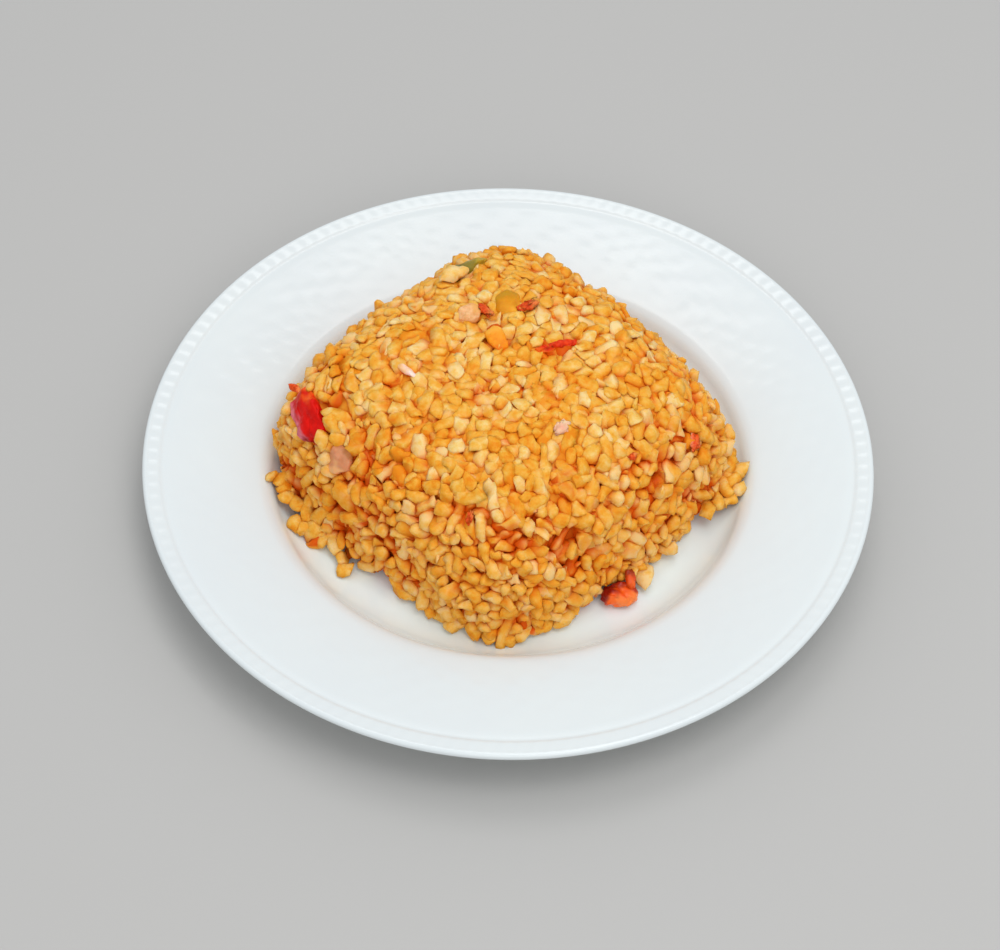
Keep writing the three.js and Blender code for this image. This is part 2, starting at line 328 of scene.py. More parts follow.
@dataclass
class Plate:
    """The dinner plate: a flat well, a steep fold and a wide rim with a band of beads at the edge."""

    radius: float = 132.5 * MM
    edge_height: float = 24.0 * MM
    edge_thickness: float = 3.0 * MM
    fold_radius: float = 87.5 * MM
    fold_height: float = 17.0 * MM
    fold_ends: tuple[float, float] = (86.0 * MM, 91.5 * MM)
    well_radius: float = 73.0 * MM
    well_height: float = 7.0 * MM
    steepest: float = 72.0
    wall: float = 4.2 * MM
    foot_radius: float = 80.0 * MM
    foot_width: float = 5.0 * MM
    recess: float = 2.6 * MM
    band_width: float = 6.6 * MM
    groove_depth: float = 0.28 * MM
    bead_count: int = 152
    bead_length: float = 4.6 * MM
    bead_height: float = 0.16 * MM
    relief_height: float = 0.14 * MM
    relief_rows: float = 7.0
    strokes: float = 44.0
    steps_per_bead: int = 6
    sectors: int = 8

    def rim_height(self, radius: float) -> float:
        """Height of the rim's straight upper side at a radius."""
        slope = (self.edge_height - self.fold_height) / (self.radius - self.fold_radius)
        return self.fold_height + slope * (radius - self.fold_radius)

    def surface(self, radius: float) -> float:
        """Height of the upper side at a radius, for what rests in the well."""
        if radius <= self.well_radius:
            return self.well_height
        if radius >= self.fold_radius:
            return self.rim_height(radius)
        steepest = math.radians(self.steepest)
        across = (self.fold_radius - self.well_radius) / math.sin(steepest)
        rise = (self.fold_height - self.well_height) / (1.0 - math.cos(steepest))
        share = (radius - self.well_radius) / across
        return self.well_height + rise * (1.0 - math.sqrt(1.0 - share * share))

    def inner_section(self) -> list[tuple[float, float]]:
        """The section of the well, the wall around it and the rounded fold, as radius and height."""
        well = [(self.well_radius * share, self.well_height) for share in (0.0, 0.3, 0.6, 0.9)]
        turn_in, turn_out = self.fold_ends
        shares = np.sin(np.linspace(0.0, math.pi / 2, 13))
        wall = [(r, self.surface(r)) for r in self.well_radius + (turn_in - self.well_radius) * shares]
        corner = (self.fold_radius + 0.4 * MM, self.fold_height)
        start, end = (turn_in, self.surface(turn_in)), (turn_out, self.rim_height(turn_out))
        fold = [
            tuple(
                (1 - t) ** 2 * start[axis] + 2 * t * (1 - t) * corner[axis] + t * t * end[axis]
                for axis in (0, 1)
            )
            for t in np.linspace(0.0, 1.0, 8)[1:]
        ]
        return [*well, *wall, *fold]

    def rim_section(self) -> list[tuple[float, float]]:
        """The section of the rim, the groove, the beaded band and the round edge."""
        groove = self.radius - self.band_width
        rim = np.linspace(self.fold_ends[1] + 1.5 * MM, groove - 2.2 * MM, 17)
        band = np.linspace(groove + 0.5 * MM, self.radius - 2.0 * MM, 8)
        round_radius = self.edge_thickness / 2
        turns = [math.radians(90 - 20 * i) for i in range(10)]
        return [
            *((r, self.rim_height(r)) for r in rim),
            (groove - 1.2 * MM, self.rim_height(groove - 1.2 * MM) - 0.6 * self.groove_depth),
            (groove - 0.5 * MM, self.rim_height(groove) - self.groove_depth),
            (groove, self.rim_height(groove) - 0.3 * self.groove_depth),
            *((r, self.rim_height(r) + 0.1 * MM) for r in band),
            *(
                (
                    self.radius - round_radius + round_radius * math.cos(turn),
                    self.edge_height - round_radius + round_radius * math.sin(turn),
                )
                for turn in turns
            ),
        ]

    def under_section(self) -> list[tuple[float, float]]:
        """The section of the underside, over the foot ring and back to the axis."""
        flat = self.fold_radius + 16.0 * MM
        outside = self.foot_radius + self.foot_width / 2
        inside = self.foot_radius - self.foot_width / 2
        return [
            (flat, self.rim_height(flat) - self.wall),
            (self.fold_radius + 2.5 * MM, self.fold_height - self.wall),
            (self.fold_radius, self.fold_height - 1.5 * self.wall),
            (outside + 1.2 * MM, self.recess + 1.4 * MM),
            (outside, 0.6 * MM),
            (outside - 1.0 * MM, 0.0),
            (inside + 1.0 * MM, 0.0),
            (inside, 0.6 * MM),
            (inside - 1.2 * MM, self.recess - 0.4 * MM),
            (self.well_radius - 1.5 * MM, self.recess),
            (0.0, self.recess),
        ]

    def bead(self, radius: float, angle: float) -> float:
        """Height that the beaded band adds at a place on the rim."""
        middle = self.radius - self.band_width / 2 - 0.6 * MM
        along = 1.0 - ((radius - middle) / (self.bead_length / 2)) ** 2
        if along <= 0.0:
            return 0.0
        across = 0.5 + 0.5 * math.cos(math.tau * (angle / math.tau * self.bead_count))
        return self.bead_height * along**0.5 * across**1.3

    def relief(self, radius: float, angle: float) -> float:
        """Height of the faint rows of short embossed strokes around the rim."""
        inner = self.fold_radius + 4.0 * MM
        outer = self.radius - self.band_width - 3.0 * MM
        share = (radius - inner) / (outer - inner)
        if not 0.0 < share < 1.0:
            return 0.0
        row = share * self.relief_rows
        wander = noise.noise(Vector((math.cos(angle) * 3.0, math.sin(angle) * 3.0, share * 2.0)))
        stroke = math.sin(angle * self.strokes + 2.4 * math.floor(row) + 5.0 * wander)
        across = 0.5 - 0.5 * math.cos(math.tau * (row + 0.8 * wander))
        return self.relief_height * math.sin(math.pi * share) ** 0.5 * max(stroke, 0.0) ** 0.7 * across

    def spun(self) -> BMesh:
        """Spins one sector of the section and copies it round, much quicker than one full turn."""
        bm = bmesh.new()
        section = [*self.inner_section(), *self.rim_section(), *self.under_section()]
        points = [bm.verts.new((r, 0.0, z)) for r, z in section]
        edges = [bm.edges.new(pair) for pair in zip(points, points[1:])]
        bmesh.ops.spin(
            bm,
            geom=[*points, *edges],
            cent=(0.0, 0.0, 0.0),
            axis=UP,
            angle=math.tau / self.sectors,
            steps=self.bead_count * self.steps_per_bead // self.sectors,
        )
        sector = [*bm.verts, *bm.edges, *bm.faces]
        for number in range(1, self.sectors):
            copied = bmesh.ops.duplicate(bm, geom=sector)["geom"]
            turn = Matrix.Rotation(math.tau * number / self.sectors, 3, "Z")
            verts = [item for item in copied if isinstance(item, BMVert)]
            bmesh.ops.rotate(bm, verts=verts, cent=(0.0, 0.0, 0.0), matrix=turn)
        bmesh.ops.remove_doubles(bm, verts=bm.verts[:], dist=MERGE_DISTANCE)
        return bm

    def build(self, material: Material) -> Object:
        """Spins the plate, raises its beads and strokes, and puts it in the frame.

        Args:
            material: The glaze.

        Returns:
            The plate.
        """
        bm = self.spun()
        for vert in bm.verts:
            radius = math.hypot(vert.co.x, vert.co.y)
            upper = vert.co.z > self.rim_height(radius) - 1.0 * MM
            if radius > self.fold_radius and upper:
                angle = math.atan2(vert.co.y, vert.co.x)
                vert.co.z += self.bead(radius, angle) + self.relief(radius, angle)
        bmesh.ops.recalc_face_normals(bm, faces=bm.faces[:])
        piece = object_from(bm, "plate_porcelain", material)
        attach(piece, BODY)
        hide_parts("plate")
        return piece


# ------------------------------------------------------------------ the mound's envelope


def from_lowest(ring: list[int]) -> list[int]:
    """Turns a face's ring of vertex numbers so that it starts at the lowest."""
    start = ring.index(min(ring))
    return ring[start:] + ring[:start]


def rings_of(bm: BMesh) -> list[list[int]]:
    """The faces as rings of vertex numbers, in an order that is the same in every run."""
    return sorted(from_lowest([vert.index for vert in face.verts]) for face in bm.faces)


def joined_solids(names: Iterable[str]) -> BVHTree:
    """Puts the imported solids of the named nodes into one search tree."""
    verts: list[Vector] = []
    faces: list[list[int]] = []
    for name in names:
        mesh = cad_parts[name].data
        start = len(verts)
        verts.extend(v.co.copy() for v in mesh.vertices)
        faces.extend([start + i for i in p.vertices] for p in mesh.polygons)
    return BVHTree.FromPolygons(verts, faces)


@dataclass
class Envelope:
    """The smooth outer surface of the mound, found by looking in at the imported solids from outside."""

    plate: Plate
    around: int = 160
    down: int = 90
    middle_share: float = 0.35
    outside: float = 300.0 * MM
    foot_band: float = 7.0 * MM
    tree: BVHTree = field(init=False)
    middle: Vector = field(init=False)
    foot: float = field(init=False)

    def __post_init__(self) -> None:
        """Joins the solids that make up the mound's skin and finds its middle and its foot."""
        low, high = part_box("pilaf")
        height = low.z + self.middle_share * (high.z - low.z)
        self.middle = Vector(((low.x + high.x) / 2, (low.y + high.y) / 2, height))
        self.foot = low.z + self.foot_band
        self.tree = joined_solids(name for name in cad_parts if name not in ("plate", "tomato_foot"))

    def shell(self, inset: float, smoothing: int) -> BMesh:
        """A closed mesh that follows the mound's skin at a depth.

        Args:
            inset: How far inside the skin it lies.
            smoothing: How many times it is evened out above the foot.

        Returns:
            The shell as a bmesh, in the part's frame.
        """
        bm = bmesh.new()
        bmesh.ops.create_uvsphere(bm, u_segments=self.around, v_segments=self.down, radius=1.0)
        for vert in bm.verts:
            ray = vert.co.normalized()
            hit = self.tree.ray_cast(self.middle + ray * self.outside, -ray, self.outside)[0]
            reach = (hit - self.middle).length if hit else 10.0 * MM
            vert.co = self.middle + ray * (reach - inset)
        above = [vert for vert in bm.verts if vert.co.z > self.foot]
        for _ in range(smoothing):
            bmesh.ops.smooth_vert(
                bm, verts=above, factor=0.5, use_axis_x=True, use_axis_y=True, use_axis_z=True
            )
        bmesh.ops.recalc_face_normals(bm, faces=bm.faces[:])
        return bm


@dataclass
class Core:
    """The inside of the mound: a smaller body with low relief, seen only between the grains.

    On top the paste reaches far up between the grains; down the sides and in a few pits it is deep.
    """

    top_depth: float = 3.4 * MM
    side_depth: float = 4.6 * MM
    front_depth: float = 5.2 * MM
    pit_depth: float = 2.2 * MM
    pit_size: float = 9.0 * MM
    relief: float = 0.6 * MM
    relief_size: float = 3.2 * MM
    above_plate: float = 0.35 * MM

    def build(self, envelope: Envelope, material: Material) -> Object:
        """Makes the core from the envelope.

        Args:
            envelope: The mound's skin.
            material: The sauced inside.

        Returns:
            The core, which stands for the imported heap.
        """
        bm = envelope.shell(self.top_depth, 3)
        deep = []
        for vert in bm.verts:
            side = 1.0 - smoothstep(0.5, 0.95, vert.normal.z)
            front = smoothstep(0.0, 0.6, -vert.normal.y)
            below = self.side_depth + front * (self.front_depth - self.side_depth)
            pit = smoothstep(0.12, 0.4, noise.noise(vert.co / self.pit_size))
            lower = max(side * (below - self.top_depth), pit * self.pit_depth)
            # The depth is stored as "deep", which the core's material paints as darker red shade.
            deep.append(lower / self.pit_depth)
            bump = noise.noise(vert.co / self.relief_size, noise_basis="VORONOI_F1")
            vert.co += vert.normal * (self.relief * (0.5 - bump) - lower)
            floor = envelope.plate.surface(math.hypot(vert.co.x, vert.co.y)) + self.above_plate
            vert.co.z = max(vert.co.z, floor)
        bmesh.ops.recalc_face_normals(bm, faces=bm.faces[:])
        piece = object_from(bm, "pilaf_core", material)
        store(piece.data, "deep", np.clip(deep, 0.0, 1.0))
        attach(piece, BODY)
        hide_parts("pilaf")
        return piece


# ------------------------------------------------------------------ grains


class GrainKind(Enum):
    """The shapes that cooked cracked wheat comes in."""

    PLUMP = "plump"
    CREASED = "creased"
    CRACKED = "cracked"
    SLIM = "slim"
    CRUMB = "crumb"

    @property
    def number(self) -> int:
        """Its place in the list of kinds, as beds store it."""
        return list(GrainKind).index(self)


@dataclass(frozen=True)
class GrainShape:
    """One grain template, one unit long, wide and thick before it is scaled."""

    kind: GrainKind
    seed: int
    segments: int = 8
    rings: int = 8
    blunt: tuple[float, float] = (0.55, 0.85)
    taper: tuple[float, float] = (-0.2, 0.2)
    cut_at: tuple[float, float] = (0.55, 0.8)
    cuts: int = 3
    crease_width: float = 0.35
    crease_depth: float = 0.3
    curve: float = 0.5
    sag: float = 0.22
    swell: float = 0.08

    def ball(self) -> tuple[np.ndarray, list[list[int]]]:
        """The vertices and faces of a ball with its poles along X, coarser for a crumb."""
        fewer = 2 if self.kind is GrainKind.CRUMB else 0
        bm = bmesh.new()
        bmesh.ops.create_uvsphere(
            bm, u_segments=self.segments - fewer, v_segments=self.rings - fewer, radius=1.0
        )
        bmesh.ops.rotate(bm, verts=bm.verts[:], matrix=Matrix.Rotation(math.pi / 2, 3, "Y"))
        bmesh.ops.recalc_face_normals(bm, faces=bm.faces[:])
        verts, faces = np.array([v.co for v in bm.verts]), rings_of(bm)
        bm.free()
        return verts, faces

    def template(self) -> tuple[np.ndarray, np.ndarray, list[list[int]]]:
        """Shapes the grain.

        Returns:
            The vertices with the length along X, how deep each lies in the crease, and the faces.
        """
        rng = np.random.default_rng(self.seed)
        ball, faces = self.ball()
        crease = np.zeros(len(ball))
        shaped = self.blunted(ball, rng.uniform(*self.blunt), rng.uniform(*self.taper))
        if self.kind is GrainKind.CREASED:
            on_top = np.exp(-((shaped[:, 1] / self.crease_width) ** 2)) * (shaped[:, 2] > 0.0)
            crease = on_top * (1.0 - shaped[:, 0] ** 4)
            shaped[:, 2] -= self.crease_depth * crease
        if self.kind in (GrainKind.CRACKED, GrainKind.CRUMB):
            for facet in unit_rows(rng.normal(size=(self.cuts, 3)) * (1.0, 1.0, 0.6)):
                over = np.maximum(shaped @ facet - rng.uniform(*self.cut_at), 0.0)
                shaped -= facet * over[:, None]
        if self.kind is GrainKind.SLIM:
            shaped[:, 1] += self.curve * (shaped[:, 0] ** 2 - 0.3)
        shaped[:, 2] -= rng.uniform(0.0, self.sag) * (shaped[:, 0] ** 2 - 0.3)
        waves = rng.normal(size=(3, 4)) * 2.0
        swell = np.sin(ball @ waves + rng.uniform(0.0, math.tau, 4)).sum(1)
        return shaped * (1.0 + self.swell * swell[:, None]) / 2, crease, faces

    def blunted(self, ball: np.ndarray, power: float, taper: float) -> np.ndarray:
        """Fills out a ball's ends along X, more for a lower power, and slims the far one by a taper."""
        ring = np.sqrt(np.maximum(1.0 - ball[:, 0] ** 2, 1e-6))
        full = ring ** (power - 1.0) * (1.0 - taper * ball[:, 0])
        return ball * np.stack([np.ones_like(full), full, full], axis=1)


@dataclass
class GrainSizes:
    """Sizes of the grains before they press on one another, how they vary, and shares of the kinds.

    Packed grains overlap by about a quarter and show that much smaller.
    """

    length: float = 9.6 * MM
    length_spread: float = 1.3 * MM
    length_limits: tuple[float, float] = (6.8 * MM, 13.0 * MM)
    width: float = 5.4 * MM
    width_spread: float = 0.6 * MM
    width_limits: tuple[float, float] = (4.2 * MM, 6.8 * MM)
    flatness: float = 0.9
    flatness_spread: float = 0.07
    scale_spread: float = 0.12
    slim_length: float = 1.15
    slim_width: float = 0.86
    cracked_length: float = 0.86
    shares: tuple[float, ...] = (0.38, 0.26, 0.22, 0.14)

    def draw(self, count: int, rng: np.random.Generator) -> tuple[np.ndarray, np.ndarray]:
        """Draws grains at random.

        Args:
            count: How many grains.
            rng: The source of chance.

        Returns:
            Length, width and thickness of each, and its kind.
        """
        length = np.clip(rng.normal(self.length, self.length_spread, count), *self.length_limits)
        width = np.clip(rng.normal(self.width, self.width_spread, count), *self.width_limits)
        kind = rng.choice(len(self.shares), size=count, p=self.shares)
        slim = kind == GrainKind.SLIM.number
        length[slim] *= self.slim_length
        width[slim] *= self.slim_width
        length[kind == GrainKind.CRACKED.number] *= self.cracked_length
        scale = np.exp(rng.normal(0.0, self.scale_spread, count))
        length *= scale
        width *= scale
        flatness = np.clip(rng.normal(self.flatness, self.flatness_spread, count), 0.66, 1.0)
        return np.stack([length, width, width * flatness], axis=1), kind


@dataclass
class Bed:
    """One layer of grains: where each lies, how it points and how big it is."""

    centre: np.ndarray
    axis: np.ndarray
    out: np.ndarray
    size: np.ndarray
    depth: np.ndarray
    kind: np.ndarray
    tint: np.ndarray

    def only(self, chosen: Sequence[bool] | np.ndarray) -> "Bed":
        """The bed with just the chosen grains, by a truth value for each or by their numbers."""
        return Bed(*(getattr(self, part.name)[np.array(chosen)] for part in fields(self)))

    def from_axes(self, points: np.ndarray) -> np.ndarray:
        """The ways to points from the nearest place on the axis of the grain that each belongs to."""
        lever = np.maximum(self.size[:, 0] - self.size[:, 1], 0.0) / 2
        along = ((points - self.centre[:, None]) * self.axis[:, None]).sum(2)
        along = np.clip(along, -lever[:, None], lever[:, None])
        return points - (self.centre[:, None] + self.axis[:, None] * along[..., None])

    def on_top(self) -> np.ndarray:
        """How far each grain belongs to the top of the mound, from 0 down the sides to 1."""
        return smoothstep(0.6, 0.95, self.out[:, 2])

    def rise(self, points: np.ndarray) -> np.ndarray:
        """How far points lie further out than the middle of the grain that each belongs to."""
        return ((points - self.centre[:, None]) * self.out[:, None]).sum(2)


@dataclass(frozen=True)
class Layer:
    """A bed of grains under a name.

    soaked is the sauce that all of it carries. packed tells how much the mould, the sauce that
    gathered between the grains and the painted shade of the crevices have acted on it, from none to fully.
    """

    name: str
    bed: Bed
    soaked: float
    packed: float = 1.0


def mottled(centre: np.ndarray, rng: np.random.Generator) -> np.ndarray:
    """Tints of grains: most alike, drifting slowly over the mound, with a few pale ones.

    Args:
        centre: Where the grains lie.
        rng: The source of chance.

    Returns:
        One tint a grain, from 0 for pale to 1 for deep orange.
    """
    drift_size, pale_share = 22.0 * MM, 0.14
    drift = np.array([noise.noise(Vector(c) / drift_size) for c in centre])
    tint = rng.normal(0.5, 0.13, len(drift)) + 0.25 * drift
    pale = rng.random(len(tint)) < pale_share
    tint[pale] = rng.uniform(0.0, 0.25, pale.sum())
    return np.clip(tint, 0.0, 1.0)


def gather(owner: np.ndarray, rows: np.ndarray, count: int) -> np.ndarray:
    """Adds up the rows of three numbers that belong to each owner."""
    return np.stack([np.bincount(owner, rows[:, axis], count) for axis in range(3)], axis=1)


@dataclass
class Neighbours:
    """Balls that may touch: pairs of grain balls, and the balls near a piece of vegetable."""

    first: np.ndarray
    second: np.ndarray
    by_vegetable: list[int]


@dataclass
class GrainPacker:
    """Scatters grains over the envelope and lets them push one another into a close packing.

    Each grain is three balls along its axis. give is how much of their touching distance two balls
    keep, since soft grains yield. move_rate and turn_rate tell how far a push moves and turns a grain.
    Grains start above_plate at the least and only where the skin's normal points up more than
    overhang. near_lengths is how many grain lengths apart grains count as near.
    """

    envelope: Envelope
    sizes: GrainSizes
    names: Sequence[str]
    rounds: int = 36
    rebuild_every: int = 4
    give: float = 0.75
    end_ball: float = 0.9
    move_rate: float = 0.38
    turn_rate: float = 0.22
    rise_limit: float = 0.6 * MM
    sink_limit: float = 1.5 * MM
    above_plate: float = 1.4 * MM
    overhang: float = -0.35
    near_lengths: float = 1.45
    vegetable_give: float = 0.5
    vegetable_rate: float = 0.6

    def __post_init__(self) -> None:
        """Makes the surface that the grains lie under and finds the vegetables they keep off."""
        self.vegetables = joined_solids(self.names)
        self.middles = np.array([(low + high) / 2 for low, high in map(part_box, self.names)])
        skin = self.envelope.shell(0.0, 2)
        bmesh.ops.triangulate(skin, faces=skin.faces[:])
        places, faces = [vert.co.copy() for vert in skin.verts], rings_of(skin)
        self.surface = BVHTree.FromPolygons(places, faces)
        self.corners = np.array(places)[np.array(faces)]
        skin.free()

    def plate_below(self, place: np.ndarray) -> np.ndarray:
        """Height of the plate under each place."""
        radius = np.hypot(place[:, 0], place[:, 1])
        return np.array([self.envelope.plate.surface(r) for r in radius])

    def scatter(self, count: int, rng: np.random.Generator) -> tuple[np.ndarray, np.ndarray]:
        """Picks places on the open part of the surface, evenly by area.

        Args:
            count: How many grains.
            rng: The source of chance.

        Returns:
            The places and the outward normals there.
        """
        a, b, c = self.corners[:, 0], self.corners[:, 1], self.corners[:, 2]
        cross = np.cross(b - a, c - a)
        area = np.linalg.norm(cross, axis=1) / 2
        normal = unit_rows(cross)
        middle = (a + b + c) / 3
        clear = middle[:, 2] > self.plate_below(middle) + self.above_plate
        weight = np.where(clear & (normal[:, 2] > self.overhang), area, 0.0)
        pick = rng.choice(len(weight), size=count, p=weight / weight.sum())
        u, v = rng.random(count), rng.random(count)
        flip = u + v > 1
        u[flip], v[flip] = 1 - u[flip], 1 - v[flip]
        place = a[pick] + u[:, None] * (b - a)[pick] + v[:, None] * (c - a)[pick]
        return place, normal[pick]

    def lay(self, count: int, depth: float, looseness: float, seed: int) -> Bed:
        """Lays one layer of grains.

        Args:
            count: How many grains.
            depth: How far the top of a grain lies under the skin.
            looseness: How much the grains of the sides tip up, and how unevenly deep they lie.
            seed: Seed of the layer.

        Returns:
            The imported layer.
        """
        rng = np.random.default_rng(seed)
        place, out = self.scatter(count, rng)
        size, kind = self.sizes.draw(count, rng)
        # Down the sides grains tip up more and lie less evenly, and those of the near ones stand proud.
        side = 1.0 - smoothstep(0.55, 0.9, out[:, 2])
        across = unit_rows(np.cross(out, unit_rows(rng.normal(size=(count, 3)))))
        tip = rng.normal(size=count) * (0.26 + looseness * side)
        axis = unit_rows(across + out * tip[:, None])
        uneven = np.abs(rng.normal(size=count)) * (0.35 + 0.75 * side) * MM
        proud = (0.1 + 0.5 * side * (out[:, 1] < 0.2)) * MM
        sink = size[:, 2] / 2 + depth + uneven - proud
        bed = Bed(place - out * sink[:, None], axis, out, size, sink, kind, mottled(place, rng))
        self.relax(bed)
        return bed.only([self.belongs(c, depth - self.sink_limit) for c in bed.centre])

    def belongs(self, place: np.ndarray, depth: float) -> bool:
        """Whether a grain's middle is deep enough under the skin and clear of the vegetables."""
        near, normal, _, _ = self.surface.find_nearest(Vector(place))
        deep_enough = (near - Vector(place)).dot(normal) > depth
        return deep_enough and self.clear_of_vegetables(place) > 0.05 * self.sizes.width

    def crumbs(self, count: int, seed: int) -> Bed:
        """Strews broken bits into the gaps between the grains of the top layer.

        Args:
            count: How many bits.
            seed: Seed of the layer.

        Returns:
            The bits, most of them hidden in the grains around them.
        """
        rng = np.random.default_rng(seed)
        place, out = self.scatter(count, rng)
        width = rng.uniform(1.6, 3.4, count) * MM
        size = np.stack([width * rng.uniform(1.0, 1.6, count), width, width * 0.85], axis=1)
        depth = width / 2 + rng.uniform(0.7, 2.0, count) * MM
        axis = unit_rows(rng.normal(size=(count, 3)))
        kind = np.full(count, GrainKind.CRUMB.number)
        bed = Bed(place - out * depth[:, None], axis, out, size, depth, kind, mottled(place, rng))
        foot = self.envelope.plate.well_height + self.envelope.foot_band
        return bed.only([c[2] > foot and self.belongs(c, 0.5 * MM) for c in bed.centre])

    def relax(self, bed: Bed) -> None:
        """Pushes overlapping grains apart along the skin, turning and sinking them a little."""
        count = len(bed.centre)
        lever = (bed.size[:, 0] - bed.size[:, 1]) / 2
        owner = np.repeat(np.arange(count), 3)
        shift = np.tile([-1.0, 0.0, 1.0], count)
        radius = (bed.size[:, 1] / 2)[owner] * np.where(shift == 0.0, 1.0, self.end_ball)
        turning = (self.turn_rate / np.maximum(lever, 0.6 * MM))[:, None]
        rest = bed.depth.copy()
        for step in range(self.rounds):
            balls = bed.centre[owner] + bed.axis[owner] * (lever[owner] * shift)[:, None]
            if step % self.rebuild_every == 0:
                near = self.neighbours(bed, balls)
            gap = balls[near.first] - balls[near.second]
            far = np.linalg.norm(gap, axis=1)
            wanted = (radius[near.first] + radius[near.second]) * self.give
            over = np.maximum(wanted - far, 0.0)
            push = gap * (over * 0.5 / np.maximum(far, 1e-9))[:, None]
            force = gather(near.first, push, len(balls)) - gather(near.second, push, len(balls))
            for index in near.by_vegetable:
                force[index] += self.vegetable_push(balls[index], bed.out[owner[index]], radius[index])
            move = gather(owner, force, count) * self.move_rate
            twist = gather(owner, force * shift[:, None], count)
            outward = (move * bed.out).sum(1)
            bed.depth = np.clip(bed.depth - 0.5 * outward, rest - self.rise_limit, rest + self.sink_limit)
            bed.depth += 0.1 * (rest - bed.depth)
            bed.centre = bed.centre + move - bed.out * outward[:, None]
            bed.axis = unit_rows(bed.axis + twist * turning)
            self.settle(bed)

    def vegetable_push(self, ball: np.ndarray, out: np.ndarray, radius: float) -> np.ndarray:
        """How far a vegetable pushes a grain's ball along the skin, zero where the ball is clear of it."""
        short = radius * self.vegetable_give - self.clear_of_vegetables(ball)
        if short <= 0.0:
            return np.zeros(3)
        away = ball - self.nearest_middle(ball)
        return unit_rows(away - out * (away @ out)) * short * self.vegetable_rate

    def clear_of_vegetables(self, place: np.ndarray) -> float:
        """Distance from a place to the nearest vegetable, below zero inside it."""
        near, normal, _, _ = self.vegetables.find_nearest(Vector(place))
        gap = Vector(place) - near
        return math.copysign(gap.length, gap.dot(normal))

    def nearest_middle(self, place: np.ndarray) -> np.ndarray:
        """Middle of the vegetable that is nearest to a place."""
        return self.middles[np.argmin(np.linalg.norm(self.middles - place, axis=1))]

    def neighbours(self, bed: Bed, balls: np.ndarray) -> Neighbours:
        """Finds which balls may touch before the next search.

        Args:
            bed: The grains.
            balls: Middles of their balls, three a grain.

        Returns:
            The pairs, and the balls near a vegetable.
        """
        reach = self.sizes.length * self.near_lengths
        far = np.linalg.norm(bed.centre[:, None] - bed.centre[None], axis=2)
        one, other = np.nonzero(np.triu(far < reach, 1))
        first = (one[:, None] * 3 + np.repeat(np.arange(3), 3)).ravel()
        second = (other[:, None] * 3 + np.tile(np.arange(3), 3)).ravel()
        by_vegetable = [
            index
            for index, ball in enumerate(balls)
            if self.vegetables.find_nearest(Vector(ball), self.sizes.length)[0] is not None
        ]
        return Neighbours(first, second, by_vegetable)

    def settle(self, bed: Bed) -> None:
        """Puts each grain back at its depth under the skin, clear of the plate."""
        for index, centre in enumerate(bed.centre):
            near, normal, _, _ = self.surface.find_nearest(Vector(centre))
            bed.centre[index] = near - normal * bed.depth[index]
            bed.out[index] = normal
        half = bed.size[:, 2] / 2 + np.abs(bed.axis[:, 2]) * (bed.size[:, 0] - bed.size[:, 2]) / 2
        low = self.plate_below(bed.centre) + half * 0.92
        bed.centre[:, 2] = np.maximum(bed.centre[:, 2], low)


@dataclass(frozen=True)
class Wander:
    """A smooth random shift of space from crossing waves, which dents whatever lies in it."""

    wavelength: float
    reach: float
    seed: int
    waves: int = 16

    def shift(self, place: np.ndarray) -> np.ndarray:
        """Moves points, held in the last axis, with the waves."""
        rng = np.random.default_rng(self.seed)
        length = self.wavelength * rng.uniform(0.7, 1.5, self.waves)
        number = unit_rows(rng.normal(size=(self.waves, 3))) * (math.tau / length)[:, None]
        amount = rng.normal(size=(self.waves, 3)) * self.reach / math.sqrt(self.waves / 2)
        return place + np.sin(place @ number.T + rng.uniform(0.0, math.tau, self.waves)) @ amount


@dataclass(frozen=True)
class Stray:
    """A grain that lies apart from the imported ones."""

    place: Place
    heading: float
    rise: float = 0.0
    length: float = 6.4
    width: float = 4.2
    kind: GrainKind = GrainKind.PLUMP
    tint: float = 0.6


def stray_bed(strays: Sequence[Stray]) -> Bed:
    """Turns strays into a bed of their own.

    Args:
        strays: Their places in mm and directions in degrees.

    Returns:
        The bed, with the upper sides facing up.
    """
    heading = np.radians([s.heading for s in strays])
    rise = np.radians([s.rise for s in strays])
    flat = np.cos(rise)
    axis = np.stack([np.cos(heading) * flat, np.sin(heading) * flat, np.sin(rise)], axis=1)
    size = np.array([(s.length, s.width, s.width * 0.92) for s in strays]) * MM
    out = unit_rows(np.array(UP) - axis * axis[:, 2:])
    return Bed(
        centre=np.array([s.place for s in strays]) * MM,
        axis=axis,
        out=out,
        size=size,
        depth=size[:, 2] / 2,
        kind=np.array([s.kind.number for s in strays]),
        tint=np.array([s.tint for s in strays]),
    )


